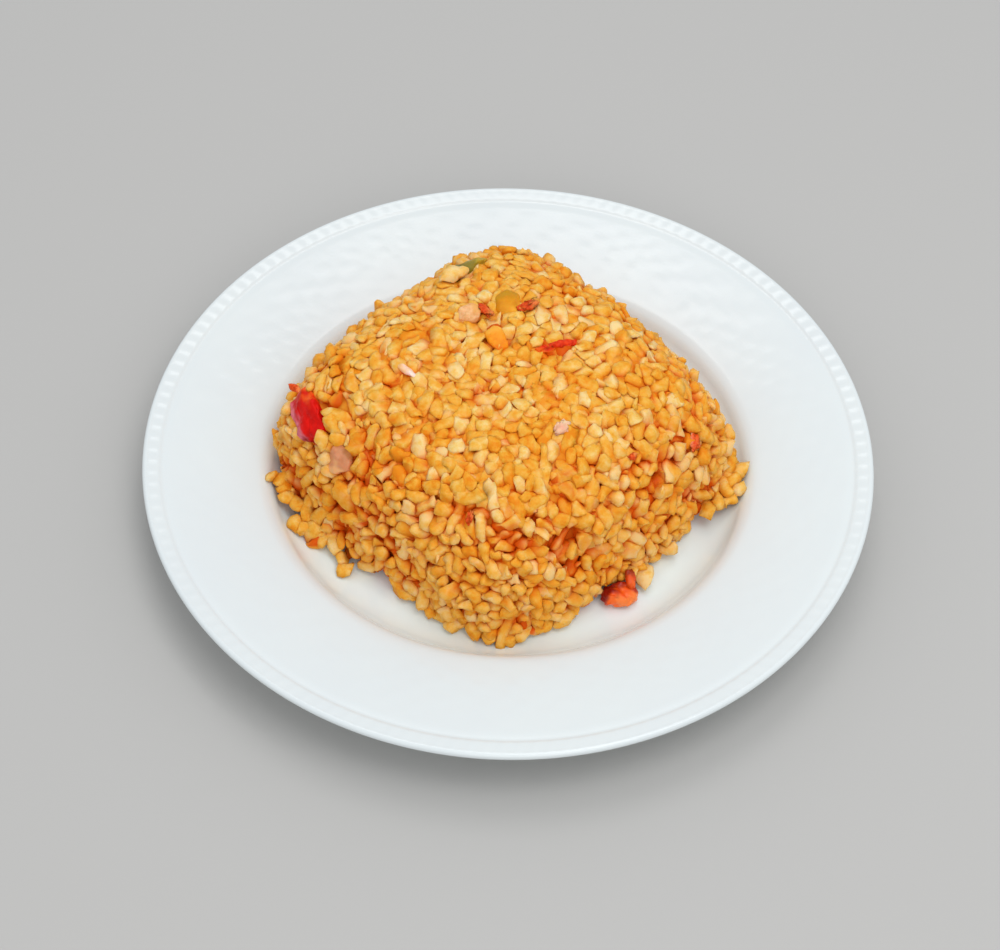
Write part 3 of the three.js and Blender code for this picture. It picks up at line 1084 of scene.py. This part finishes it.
# Grains that have slipped from the foot, the loose ones that stand out of the skin, and those that
# lie over the edges of vegetables. Places are in mm.
SLIPPED_LEFT = (
    Stray((-85.1, -12.1, 17.0), 200.0, 10.0, 4.6, 4.0, tint=0.55),
    Stray((-81.6, -13.6, 17.4), 230.0, 0.0, 5.8, 4.2, tint=0.7),
    Stray((-80.9, -17.2, 16.8), 250.0, -10.0, 5.6, 4.2, tint=0.8),
    Stray((-79.6, -20.8, 16.0), 320.0, 0.0, 5.6, 4.6, tint=0.5),
    Stray((-75.6, -23.6, 15.6), 310.0, 0.0, 6.2, 4.6, tint=0.7),
    Stray((-75.4, -30.2, 12.2), 15.0, 0.0, 5.8, 5.0, tint=0.6),
    Stray((-71.8, -31.6, 12.2), 340.0, 0.0, 6.4, 5.0, tint=0.5),
    Stray((-68.2, -33.6, 11.8), 350.0, 0.0, 6.6, 5.2, tint=0.45),
    Stray((-64.8, -35.6, 11.0), 30.0, 0.0, 6.2, 5.0, tint=0.5),
    Stray((-71.6, -27.6, 14.8), 100.0, 25.0, 6.6, 4.8, tint=0.6),
    Stray((-67.4, -29.8, 14.6), 60.0, 15.0, 6.8, 4.8, tint=0.5),
    Stray((-63.6, -32.2, 14.2), 30.0, 10.0, 6.6, 4.8, tint=0.4),
    Stray((-60.8, -38.6, 10.8), 288.0, 0.0, 7.8, 3.8, GrainKind.SLIM, 0.3),
    Stray((-58.8, -43.6, 9.6), 300.0, 0.0, 5.8, 3.6, GrainKind.SLIM, 0.4),
    Stray((-57.2, -47.6, 9.6), 160.0, 0.0, 5.4, 4.6, tint=0.55),
)
SLIPPED_RIGHT = (
    Stray((83.9, -4.6, 17.0), 24.0, 8.0, 10.6, 4.0, GrainKind.SLIM, 0.4),
    Stray((83.4, -12.6, 16.2), 20.0, 0.0, 5.8, 4.6, tint=0.2),
    Stray((81.4, -9.2, 17.0), 60.0, 0.0, 5.8, 4.4, tint=0.6),
    Stray((79.6, -13.0, 16.4), 120.0, 20.0, 6.0, 4.4, tint=0.6),
    Stray((80.2, -16.4, 14.4), 200.0, 0.0, 5.6, 4.4, tint=0.55),
    Stray((76.0, -17.6, 15.0), 240.0, 0.0, 6.2, 4.6, tint=0.5),
    Stray((72.4, -20.6, 13.8), 250.0, 0.0, 6.2, 4.8, tint=0.6),
    Stray((80.2, -4.4, 19.6), 70.0, 30.0, 6.4, 4.6, tint=0.6),
    Stray((81.2, 1.2, 19.4), 100.0, 20.0, 6.4, 4.6, tint=0.7),
    Stray((79.4, 4.4, 26.6), 80.0, 50.0, 6.8, 4.6, tint=0.5),
)
FRONT_FOOT = (
    Stray((-34.4, -58.4, 10.4), 330.0, 0.0, 7.4, 4.8, tint=0.5),
    Stray((-27.4, -62.8, 10.2), 320.0, 10.0, 7.4, 5.0, tint=0.5),
    Stray((-21.6, -66.4, 10.0), 345.0, 0.0, 7.8, 4.8, tint=0.45),
    Stray((-16.8, -70.2, 9.7), 10.0, 0.0, 8.6, 4.8, tint=0.3),
    Stray((-10.8, -72.6, 9.9), 300.0, 12.0, 7.6, 5.0, tint=0.65),
    Stray((-5.4, -74.4, 9.7), 280.0, 10.0, 7.2, 4.8, tint=0.6),
    Stray((0.2, -75.6, 9.8), 340.0, 0.0, 7.8, 5.0, tint=0.6),
    Stray((6.4, -73.8, 10.2), 40.0, 10.0, 8.0, 5.0, tint=0.35),
    Stray((12.4, -70.6, 10.0), 20.0, 0.0, 7.8, 4.8, tint=0.6),
    Stray((20.4, -67.2, 10.4), 35.0, 10.0, 8.6, 5.0, tint=0.5),
    Stray((36.4, -50.6, 12.6), 20.0, 10.0, 6.6, 4.8, tint=0.5),
    Stray((43.4, -48.6, 12.8), 340.0, 10.0, 6.4, 4.6, tint=0.35),
    Stray((49.6, -48.9, 11.4), 70.0, 15.0, 6.6, 4.8, tint=0.05),
)
STANDING_OUT = (
    Stray((-22.0, 47.2, 62.7), 25.0, 2.0, 9.4, 4.9, tint=0.15),
    Stray((-61.6, -15.6, 51.4), 300.0, -30.0, 7.6, 4.6, tint=0.6),
    Stray((-65.6, -19.4, 46.0), 280.0, -50.0, 7.4, 4.6, tint=0.45),
)
STRAYS = SLIPPED_LEFT + SLIPPED_RIGHT + FRONT_FOOT + STANDING_OUT


@dataclass
class GrainMesh:
    """The vertices, faces and attributes of many grains, gathered into one mesh."""

    blocks: list[tuple[np.ndarray, ...]] = field(default_factory=list)
    start: int = 0

    def add(self, world: np.ndarray, faces: list[list[int]], tint: np.ndarray, sauce: np.ndarray) -> None:
        """Adds grains of one shape.

        Args:
            world: Their vertices, one block a grain.
            faces: The faces of the shape.
            tint: One tint a grain.
            sauce: How much sauce and painted shade lies on each vertex.
        """
        count, size = world.shape[:2]
        rings = np.array([i for face in faces for i in face])
        lengths = np.array([len(face) for face in faces])
        shift = self.start + np.arange(count) * size
        loops = (rings[None] + shift[:, None]).reshape(-1)
        self.start += count * size
        self.blocks.append(
            (world.reshape(-1, 3), loops, np.tile(lengths, count), np.repeat(tint, size), sauce.reshape(-1))
        )

    def finish(self, name: str) -> Mesh:
        """Makes the mesh under its name, with the attributes "tint" and "sauce"."""
        verts, loops, totals, tint, sauce = (np.concatenate(parts) for parts in zip(*self.blocks))
        mesh = bpy.data.meshes.new(name)
        mesh.vertices.add(len(verts))
        mesh.vertices.foreach_set("co", verts.ravel())
        mesh.loops.add(len(loops))
        mesh.loops.foreach_set("vertex_index", loops)
        mesh.polygons.add(len(totals))
        mesh.polygons.foreach_set("loop_start", np.cumsum(totals) - totals)
        mesh.update(calc_edges=True)
        mesh.validate()
        store(mesh, "tint", tint)
        store(mesh, "sauce", sauce)
        return mesh


@dataclass
class GrainPieces:
    """Turns packed grains into one joined mesh for each kind.

    softness is the share of an overlap that a grain gives way by, and filling how far its free sides
    swell into the gaps. The mould has pressed flat a share of what stands up near the skin, side_moulding
    everywhere and top_moulding more on top. The sauce weights tell how far the colour turns deep orange
    low down, down the sides, where grains are squeezed together, and in creases. Part of this is sauce
    that gathers there and part is painted shade of the crevices and of the steep sides. low and tight
    are the depths and squeezes from which this starts to show and at which it shows most.
    """

    material: Material
    variants: int = 7
    seed: int = 71
    rounds: int = 2
    touching: int = 12
    crease: float = 0.03 * MM
    softness: float = 0.5
    least_facing: float = 0.25
    filling: float = 0.36 * MM
    mould_reach: float = 1.5 * MM
    side_moulding: float = 0.12
    top_moulding: float = 0.55
    low: tuple[float, float] = (0.2 * MM, 3.2 * MM)
    tight: tuple[float, float] = (0.4 * MM, 1.5 * MM)
    # Weights of sauce and painted shade: low down, down the sides, where squeezed, and in creases.
    low_sauce: float = 0.9
    side_sauce: float = 0.26
    squeezed_sauce: float = 0.7
    crease_sauce: float = 0.35
    dents: Wander = Wander(wavelength=5.5 * MM, reach=0.38 * MM, seed=11)
    nicks: Wander = Wander(wavelength=2.6 * MM, reach=0.13 * MM, seed=12)

    def drawn_back(
        self, shown: np.ndarray, own: Bed, others: Sequence[Bed], filling: np.ndarray
    ) -> tuple[np.ndarray, np.ndarray, np.ndarray]:
        """Finds how far each vertex has to go back to lie midway between touching grains.

        Args:
            shown: Vertices, one block a grain.
            own: The grains.
            others: Beds of their neighbours, from the nearest of each on.
            filling: How far the free sides of each grain swell instead.

        Returns:
            The direction away from the grain's axis, the distance from it, and the way back.
        """
        away = own.from_axes(shown)
        far = np.linalg.norm(away, axis=2)
        away /= np.maximum(far, 1e-9)[..., None]
        own_in = far - own.size[:, 1:2] / 2
        level = 1.0 - np.abs((away * own.out[:, None]).sum(2))
        back = -level * filling[:, None]
        for other in others:
            gap = other.from_axes(shown)
            other_far = np.linalg.norm(gap, axis=2)
            over = own_in - (other_far - other.size[:, 1:2] / 2) + self.crease
            facing = 1.0 - (away * gap).sum(2) / np.maximum(other_far, 1e-9)
            pull = over / np.maximum(facing, self.least_facing)
            back = np.maximum(back, np.where(facing > self.least_facing, pull, back))
        return away, far, back

    def press(self, world: np.ndarray, mine: np.ndarray, layer: Layer) -> tuple[np.ndarray, np.ndarray]:
        """Flattens soft grains where they press on their neighbours and on the mould they came from.

        Args:
            world: Vertices of the chosen grains, one block a grain.
            mine: Which grains they are.
            layer: The layer they lie in.

        Returns:
            The vertices, drawn back to midway between touching grains and towards the skin, and how
            far the neighbours drew each one back.
        """
        bed, own = layer.bed, layer.bed.only(mine)
        far = np.linalg.norm(own.centre[:, None] - bed.centre[None], axis=2)
        far[np.arange(len(mine)), mine] = 1.0
        near = np.argsort(far, axis=1)[:, : min(self.touching, len(bed.centre) - 1)]
        others = [bed.only(rank) for rank in near.T]
        top = own.on_top()
        softness = self.softness * (0.5 + 0.5 * layer.packed)
        filling = self.filling * (0.3 + 0.7 * top)
        squeezed = np.zeros(world.shape[:2])
        shown = world
        for _ in range(self.rounds):
            away, far, back = self.drawn_back(shown, own, others, filling)
            back = np.minimum(np.where(back > 0.0, back * softness, back), far * 0.7)
            shown = shown - away * back[..., None]
            squeezed += np.maximum(back, 0.0)
        moulded = (self.side_moulding + self.top_moulding * top) * layer.packed
        height = own.rise(shown) - own.depth[:, None]
        pressed = np.maximum(height + self.mould_reach, 0.0) * moulded[:, None]
        shown = shown - own.out[:, None] * pressed[..., None]
        return self.nicks.shift(self.dents.shift(shown)), squeezed

    def poses(self, bed: Bed, rng: np.random.Generator) -> np.ndarray:
        """Rotation of each grain: along its axis, rolled, with its flat side out."""
        roll = rng.normal(size=len(bed.axis)) * 0.7
        side = unit_rows(np.cross(bed.out, bed.axis))
        top = unit_rows(np.cross(bed.axis, side))
        turned = np.cos(roll)[:, None] * side + np.sin(roll)[:, None] * top
        raised = unit_rows(np.cross(bed.axis, turned))
        return np.stack([bed.axis, turned, raised], axis=2)

    def sauce(
        self, world: np.ndarray, squeezed: np.ndarray, crease: np.ndarray, own: Bed, layer: Layer
    ) -> np.ndarray:
        """How much sauce and painted shade lies on each vertex.

        Args:
            world: Pressed vertices, one block a grain.
            squeezed: How far neighbours drew each one back.
            crease: How deep each lies in the grain's crease.
            own: The grains.
            layer: The layer they lie in.

        Returns:
            Amounts from 0 to 1.
        """
        depth = own.depth[:, None] - own.rise(world)
        side = 1.0 - own.on_top()
        # Painted shade in part: the colour turns deep orange low under the skin, down the steep sides, where
        # grains are squeezed and in creases. This stands for sauce that gathers there and for the shade of
        # crevices and sides.
        gathered = smoothstep(*self.low, depth) * self.low_sauce + self.side_sauce * side[:, None]
        gathered += self.squeezed_sauce * smoothstep(*self.tight, squeezed)
        amount = gathered * layer.packed + crease[None] * self.crease_sauce + layer.soaked
        return np.clip(amount, 0.0, 1.0)

    def join(
        self, layer: Layer, kind: GrainKind, turns: np.ndarray, rng: np.random.Generator
    ) -> Object | None:
        """Joins the grains of one kind in a layer into one piece.

        Args:
            layer: The layer they lie in.
            kind: Their kind.
            turns: Rotations of all grains of the layer.
            rng: The source of chance.

        Returns:
            The piece, or nothing where the layer has no such grains.
        """
        chosen = np.flatnonzero(layer.bed.kind == kind.number)
        if len(chosen) == 0:
            return None
        variant = rng.integers(0, self.variants, len(chosen))
        mirror = rng.choice([-1.0, 1.0], len(chosen))
        joined = GrainMesh()
        for number in np.unique(variant):
            shape, crease, faces = GrainShape(kind, 100 * (int(number) + 1)).template()
            mine = chosen[variant == number]
            own = layer.bed.only(mine)
            local = shape[None] * own.size[:, None]
            local[..., :2] *= mirror[variant == number][:, None, None]
            world = np.einsum("nij,nvj->nvi", turns[mine], local) + own.centre[:, None]
            world, squeezed = self.press(world, mine, layer)
            joined.add(world, faces, own.tint, self.sauce(world, squeezed, crease, own, layer))
        mesh = joined.finish(f"grains_{kind.value}_{layer.name}")
        piece = object_of(mesh, self.material)
        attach(piece, BODY)
        triangles = len(mesh.loops) - 2 * len(mesh.polygons)
        LOG.info("%s: %d grains, %d triangles", piece.name, len(chosen), triangles)
        return piece

    def build(self, layers: Iterable[Layer]) -> list[Object]:
        """Builds a piece for each kind of grain in each layer."""
        rng = np.random.default_rng(self.seed)
        pieces = []
        for layer in layers:
            turns = self.poses(layer.bed, rng)
            pieces.extend(self.join(layer, kind, turns, rng) for kind in GrainKind)
        return [piece for piece in pieces if piece]


# ------------------------------------------------------------------ vegetables


@dataclass(frozen=True)
class SideColour:
    """A side of a piece towards a direction, coloured apart from the rest.

    start runs from -1 at the far side of the piece to 1 at the near one.
    """

    colour: str
    side: Place
    start: float


@dataclass(frozen=True)
class WetFlesh:
    """A piece of soft cooked vegetable under a film of oily sauce.

    The flesh is full of water, so light goes a little way in and the colour looks deep. The oil film
    gives small soft highlights. A side or end is coloured apart from the rest. On the red pepper a pink
    side is painted sheen and the lower front side painted shade. Elsewhere the side colours stand for
    where the skin stops, the flesh has browned and the sauce has dyed it.
    """

    name: str
    body: str
    deep: str
    side_colours: tuple[SideColour, ...] = ()
    patch: float = 3.0 * MM
    fine: float = 1.3 * MM
    fine_depth: float = 0.4 * MM
    clearness: float = 0.3
    film: float = 0.25
    gloss: float = 0.3
    ragged: float = 0.4
    ragged_size: float = 2.4 * MM
    edge: tuple[float, float] = (-0.15, 0.3)

    def build(self) -> Material:
        """Makes the material; it reads one attribute of the piece for each side colour."""
        clear = {"Subsurface Radius": (1.0, 0.4, 0.2), "Subsurface Scale": 1.2 * MM}
        wet = {"Roughness": 0.42, "IOR": 1.4, "Coat Weight": self.film, "Coat Roughness": 0.2}
        own = {"Specular IOR Level": self.gloss, "Subsurface Weight": self.clearness}
        material, tree, shader = new_material(self.name, {**clear, **wet, **own})
        place = add_node(tree, "ShaderNodeTexCoord").outputs["Object"]
        patches, fine = (
            add_node(
                tree, "ShaderNodeTexNoise", {"Scale": 1.0 / size, "Detail": detail}, {"Vector": place}
            ).outputs["Fac"]
            for size, detail in ((self.patch, 3.0), (self.fine, 2.0))
        )
        colour = add_ramp(tree, patches, [(0.35, self.deep), (0.6, self.body)])
        for index, side_colour in enumerate(self.side_colours):
            amount = add_node(tree, "ShaderNodeAttribute", {"attribute_name": f"side_colour_{index}"})
            recoloured = {"data_type": "RGBA", 7: linear(side_colour.colour)}
            mixed = add_node(tree, "ShaderNodeMix", recoloured, {0: amount.outputs["Fac"], 6: colour})
            colour = mixed.outputs[2]
        dress(tree, shader, colour, fine, {"Strength": 0.5, "Distance": self.fine_depth})
        return material

    def mark(self, piece: Object) -> None:
        """Stores on a piece how far each vertex lies inside each side colour, with ragged edges."""
        co = np.array([v.co for v in piece.data.vertices])
        ragged = np.array([noise.noise(Vector(c) / self.ragged_size) for c in co]) * self.ragged
        for index, side_colour in enumerate(self.side_colours):
            along = co @ np.array(Vector(side_colour.side).normalized())
            middle, half = (along.max() + along.min()) / 2, (along.max() - along.min()) / 2
            low, high = (side_colour.start + step for step in self.edge)
            store(piece.data, f"side_colour_{index}", smoothstep(low, high, (along - middle) / half + ragged))


def wrinkled(place: Vector, broad: float, fine: float) -> Vector:
    """A place moved by broad crumpling and fine wrinkles of the given reach."""
    fold_size, wrinkle_size = 4.6 * MM, 1.9 * MM
    moved = place + noise.noise_vector(place / fold_size) * broad
    return moved + noise.noise_vector(moved / wrinkle_size) * fine


@dataclass(frozen=True)
class Chunk:
    """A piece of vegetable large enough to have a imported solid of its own.

    flat and slim tell how much of its height over its middle and of its width it has lost, and turn
    by how many degrees it has slid round on the skin.
    """

    node: str
    slot: str
    finish: WetFlesh
    flat: float = 0.3
    slim: float = 0.0
    broad: float = 1.0 * MM
    fine: float = 0.35 * MM
    turn: float = 0.0

    def build(self, skin: BVHTree) -> Object:
        """Wrinkles a finer copy of the solid, colours its sides and puts it in the frame.

        Args:
            skin: The skin of the mound.

        Returns:
            The piece.
        """
        bm = bmesh.new()
        bm.from_mesh(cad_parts[self.node].data)
        bmesh.ops.remove_doubles(bm, verts=bm.verts[:], dist=MERGE_DISTANCE)
        for _ in range(2):
            bm.normal_update()
            bmesh.ops.subdivide_edges(bm, edges=bm.edges[:], cuts=1, smooth=0.3, use_grid_fill=True)
        bmesh.ops.triangulate(bm, faces=bm.faces[:])
        bmesh.ops.recalc_face_normals(bm, faces=bm.faces[:])
        co = np.array([vert.co for vert in bm.verts])
        middle = Vector(co.mean(0))
        along = Vector(np.linalg.eigh(np.cov(co.T))[1][:, 2])
        out = skin.find_nearest(middle)[1]
        across = out.cross(along).normalized()
        slide = Matrix.Rotation(math.radians(self.turn), 3, out)
        for vert in bm.verts:
            arm = vert.co - middle
            arm -= across * (arm.dot(across) * self.slim)
            arm -= out * (max(arm.dot(out), 0.0) * self.flat)
            vert.co = wrinkled(middle + slide @ arm, self.broad, self.fine)
        piece = object_from(bm, f"{self.node}_flesh", self.finish.build())
        self.finish.mark(piece)
        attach(piece, BODY)
        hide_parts(self.node)
        return piece


@dataclass(frozen=True)
class Scrap:
    """A small bit of vegetable skin or flesh that lies on the grains or between them, in mm."""

    name: str
    slot: str
    finish: WetFlesh
    start: Place
    end: Place
    width: float
    thickness: float
    crumple: float = 0.5

    def build(self, skin: BVHTree) -> Object:
        """Crumples a flattened ball between its two ends, flat side along the mound.

        Args:
            skin: The skin of the mound.

        Returns:
            The scrap.
        """
        start, end = Vector(self.start) * MM, Vector(self.end) * MM
        middle = (start + end) / 2
        along = (end - start).normalized()
        out = skin.find_nearest(middle)[1]
        side = out.cross(along).normalized()
        turn = Matrix((along, side, along.cross(side))).transposed()
        reach = (end - start).length / 2
        bm = bmesh.new()
        bmesh.ops.create_uvsphere(bm, u_segments=20, v_segments=14, radius=1.0)
        bmesh.ops.rotate(bm, verts=bm.verts[:], matrix=Matrix.Rotation(math.pi / 2, 3, "Y"))
        for vert in bm.verts:
            wave = noise.noise_vector(vert.co * 1.7 + middle * 1000.0) * self.crumple
            fine = noise.noise_vector(vert.co * 3.9 + middle * 700.0) * self.crumple * 0.5
            shaped = vert.co + wave + fine
            sized = (shaped.x * reach, shaped.y * self.width * MM / 2, shaped.z * self.thickness * MM / 2)
            vert.co = middle + turn @ Vector(sized)
        bmesh.ops.recalc_face_normals(bm, faces=bm.faces[:])
        piece = object_from(bm, self.name, self.finish.build())
        self.finish.mark(piece)
        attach(piece, BODY)
        return piece


# Directions of side colours: towards the viewer's left, and towards the back and up.
LEFT = (-1.0, 0.0, 0.0)
BACK_UP = (0.0, 0.78, 0.62)

RED_PEPPER = WetFlesh(
    "red_pepper_skin",
    body="#e0140a",
    deep="#cc0e06",
    side_colours=(
        # Painted sheen: a pink side towards the left stands in for the skin's reflection.
        SideColour("#e87a86", (-0.9, -0.35, -0.45), 0.5),
        SideColour("#f2601c", (0.1, 0.78, 0.62), 0.6),
        # Painted shade: the lower front side darker red.
        SideColour("#9c0408", (0.1, -0.7, -0.7), 0.62),
    ),
    clearness=0.1,
    film=0.0,
    gloss=0.15,
)
BROWNED_ONION = WetFlesh(
    "browned_onion",
    body="#dc9468",
    deep="#d08458",
    side_colours=(SideColour("#b06c34", (0.8, 0.5, 0.4), 0.5), SideColour("#ecac70", (-0.6, -0.8, 0.0), 0.6)),
    film=0.1,
)
GREEN_STRIP = WetFlesh(
    "green_pepper_skin",
    body="#8a7814",
    deep="#6c620e",
    side_colours=(SideColour("#b89a28", (0.6, 0.4, 0.6), 0.5), SideColour("#6a5c18", (-1.0, -0.5, 0.0), 0.5)),
)
OCHRE_SQUARE = WetFlesh(
    "ochre_green_pepper",
    body="#dc9010",
    deep="#d08408",
    side_colours=(SideColour("#c48a12", (-0.4, 0.78, 0.62), 0.4), SideColour("#eca42a", (0.5, -0.8, 0.0), 0.5)),
    film=0.0,
    gloss=0.2,
)
TOMATO_SKIN = WetFlesh(
    "tomato_skin",
    body="#ea4010",
    deep="#d02806",
    side_colours=(SideColour("#f27c20", (0.0, -0.8, -0.6), 0.4), SideColour("#f0641a", LEFT, 0.6)),
    patch=1.6 * MM,
    film=0.05,
    gloss=0.15,
)
ORANGE_FLESH = WetFlesh(
    "orange_pepper_flesh",
    body="#f2981c",
    deep="#ec880e",
    side_colours=(SideColour("#f4ac3c", BACK_UP, 0.4), SideColour("#e87410", (0.0, -0.8, -0.6), 0.5)),
    film=0.05,
    gloss=0.15,
)
BEIGE_ONION = WetFlesh(
    "soft_onion",
    body="#f2bc84",
    deep="#e2a262",
    side_colours=(SideColour("#eaa858", (0.8, 0.5, 0.4), 0.4), SideColour("#cc8444", (0.7, -0.6, 0.0), 0.6)),
    patch=1.4 * MM,
    film=0.15,
)
WHITE_ONION = WetFlesh(
    "pale_onion",
    body="#f6d4ba",
    deep="#f2c49e",
    side_colours=(SideColour("#f4b878", LEFT, 0.3), SideColour("#f8dcd0", (0.6, -0.6, 0.0), 0.4)),
    film=0.15,
)
SOFT_TOMATO = WetFlesh(
    "soft_tomato",
    body="#fb6a1c",
    deep="#ee4a0c",
    side_colours=(
        SideColour("#fc8238", (0.6, -0.8, -0.2), 0.3),
        SideColour("#8c1206", (-0.75, 0.5, 0.5), 0.35),
        SideColour("#b02808", (0.45, 0.8, 0.6), 0.6),
    ),
    clearness=0.15,
    film=0.3,
    gloss=0.2,
)
RED_SCRAP = WetFlesh(
    "red_skin_scrap",
    body="#e85a1c",
    deep="#cc3a0e",
    side_colours=(SideColour("#ec8440", (0.6, 0.0, 0.6), 0.5),),
    patch=1.2 * MM,
    film=0.05,
    gloss=0.15,
)
PINK_ONION = WetFlesh(
    "pink_onion_scrap", body="#f2bc98", deep="#e8a480", side_colours=(SideColour("#f4c8a0", BACK_UP, 0.3),)
)
RED_BIT = WetFlesh(
    "red_pepper_scrap", body="#f0601c", deep="#e24814", side_colours=(SideColour("#f8a880", LEFT, 0.5),), film=0.1
)
TOMATO_BIT = WetFlesh(
    "soft_tomato_end", body="#f06420", deep="#e04812", side_colours=(SideColour("#a03008", BACK_UP, 0.4),), film=0.2
)

CHUNKS = (
    Chunk("pepper_red", "red_vegetable", RED_PEPPER, flat=0.15, broad=1.9 * MM, fine=0.6 * MM),
    Chunk("onion_browned", "onion", BROWNED_ONION, flat=0.35),
    Chunk("pepper_green_strip", "green_pepper", GREEN_STRIP, flat=0.3),
    Chunk("pepper_green_square", "green_pepper", OCHRE_SQUARE, flat=0.45),
    Chunk("tomato_shred", "red_vegetable", TOMATO_SKIN, 0.5, 0.6, 0.5 * MM, 1.3 * MM, -14.0),
    Chunk("pepper_orange", "orange_pepper", ORANGE_FLESH, flat=0.4),
    Chunk("onion_beige", "onion", BEIGE_ONION, flat=0.45, broad=1.3 * MM),
    Chunk("onion_white", "onion", WHITE_ONION, flat=0.3, slim=0.35),
    Chunk("tomato_foot", "red_vegetable", SOFT_TOMATO, flat=0.3, slim=0.1, broad=1.4 * MM, fine=0.9 * MM),
)

SCRAPS = (
    Scrap("onion_pink", "onion", PINK_ONION, (16.2, -26.6, 62.6), (20.0, -21.6, 63.0), 4.4, 2.6),
    Scrap("pepper_bit", "red_vegetable", RED_BIT, (65.3, -16.6, 43.0), (65.7, -10.8, 44.6), 4.8, 3.0),
    Scrap("skin_left", "red_vegetable", RED_SCRAP, (-12.0, 30.2, 64.5), (-6.4, 25.0, 64.9), 3.0, 2.0, 0.7),
    Scrap("skin_right", "red_vegetable", RED_SCRAP, (2.6, 29.0, 64.6), (9.0, 32.6, 64.3), 3.6, 2.2, 0.7),
    Scrap("fleck_front", "red_vegetable", RED_SCRAP, (-13.2, -57.8, 51), (-12.4, -54, 53.4), 2.2, 1.6, 0.6),
    Scrap("fleck_right", "red_vegetable", RED_SCRAP, (41.6, -29.6, 53.5), (44.2, -28.0, 53.8), 2.4, 1.8, 0.6),
    Scrap("tomato_arm", "red_vegetable", TOMATO_BIT, (43, -50.4, 17.4), (44.6, -55.4, 12.6), 3.6, 3.4, 0.35),
    Scrap("pepper_nub", "red_vegetable", RED_SCRAP, (-78.4, 3.0, 50.2), (-74.6, -0.4, 51.0), 2.6, 2.4, 0.4),
)


# ------------------------------------------------------------------ setting


@dataclass(frozen=True)
class Camera:
    """The camera: a medium telephoto looking down on the plate, very slightly rolled."""

    elevation: float = 51.52
    distance: float = 0.819
    target: Place = (-0.00288, -0.01161, 0.020)
    roll: float = 1.32
    focal_mm: float = 81.54

    def build(self) -> Object:
        """Places the camera and makes it the scene's."""
        data = bpy.data.cameras.new("camera")
        data.sensor_fit = "HORIZONTAL"
        data.sensor_width = 36.0
        data.lens = self.focal_mm
        data.clip_end = 20.0
        camera = bpy.data.objects.new("camera", data)
        tilt = math.radians(self.elevation)
        forward = Vector((0.0, math.cos(tilt), -math.sin(tilt)))
        right = Vector((1.0, 0.0, 0.0))
        up = right.cross(forward)
        turn = math.radians(self.roll)
        rolled_right = math.cos(turn) * right + math.sin(turn) * up
        rolled_up = math.cos(turn) * up - math.sin(turn) * right
        place = Vector(self.target) - forward * self.distance
        basis = Matrix((rolled_right, rolled_up, -forward)).transposed()
        camera.matrix_world = Matrix.Translation(place) @ basis.to_4x4()
        bpy.context.scene.collection.objects.link(camera)
        bpy.context.scene.camera = camera
        return camera


@dataclass(frozen=True)
class Studio:
    """A pale floor under an overhead softbox, a weaker one behind, a low fill and an even sky."""

    floor_size: float = 6.0
    floor: str = "#b9b8b5"
    key_power: float = 4.8
    back_power: float = 2.9
    fill_power: float = 3.3
    sky: float = 0.74

    def softbox(self, name: str, place: Place, size: float, power: float) -> None:
        """Adds a square area light aimed at the plate."""
        data = bpy.data.lights.new(name, "AREA")
        data.shape = "SQUARE"
        data.size = size
        data.energy = power
        light = bpy.data.objects.new(name, data)
        light.location = place
        light.rotation_euler = (Vector(place) - Vector((0, 0, 0.03))).to_track_quat("Z", "Y").to_euler()
        bpy.context.scene.collection.objects.link(light)

    def build(self) -> None:
        """Makes the floor, the lights and the sky."""
        material = new_material("studio_floor", {"Base Color": linear(self.floor), "Roughness": 0.8})[0]
        bm = bmesh.new()
        bmesh.ops.create_grid(bm, x_segments=1, y_segments=1, size=self.floor_size / 2)
        floor = object_from(bm, "floor", material)
        self.softbox("key", place=(0.3, -0.3, 1.3), size=0.7, power=self.key_power)
        self.softbox("back", place=(0.0, 0.5, 1.35), size=0.6, power=self.back_power)
        self.softbox("fill", place=(0.2, -1.2, 0.9), size=0.8, power=self.fill_power)
        world = bpy.data.worlds.new("studio")
        world.use_nodes = True
        background = world.node_tree.nodes["Background"]
        background.inputs["Color"].default_value = linear("#f4f6fa")
        background.inputs["Strength"].default_value = self.sky
        bpy.context.scene.world = world
        bpy.context.scene.view_settings.view_transform = "Standard"


# ------------------------------------------------------------------ assembly


def main() -> None:
    """Builds the setting, the plate, the core, the grains and the vegetables in order."""
    logging.basicConfig(level=logging.INFO, format="%(relativeCreated)6.0f ms  %(message)s")
    noise.seed_set(CRUMPLE_SEED)
    Camera().build()
    Studio().build()
    plate = Plate()
    plate.build(Porcelain().build())
    LOG.info("plate done")
    envelope = Envelope(plate)
    Core().build(envelope, SaucedCore().build())
    LOG.info("core done")
    vegetables = [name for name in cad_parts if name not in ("plate", "pilaf")]
    packer = GrainPacker(envelope, GrainSizes(), vegetables)
    for piece in (*CHUNKS, *SCRAPS):
        piece.build(packer.surface)
    LOG.info("vegetables done")
    top = packer.lay(count=1180, depth=0.0, looseness=0.3, seed=5)
    LOG.info("top layer packed")
    under = packer.lay(count=1350, depth=2.2 * MM, looseness=0.5, seed=6)
    LOG.info("under layer packed")
    crumbs = packer.crumbs(count=1000, seed=7)
    layers = [
        Layer("top", top, soaked=0.0),
        Layer("under", under, soaked=0.12),
        Layer("loose", crumbs, soaked=0.1),
        Layer("stray", stray_bed(STRAYS), soaked=0.1, packed=0.25),
    ]
    GrainPieces(CookedGrain().build()).build(layers)


if __name__ == "__main__":
    main()
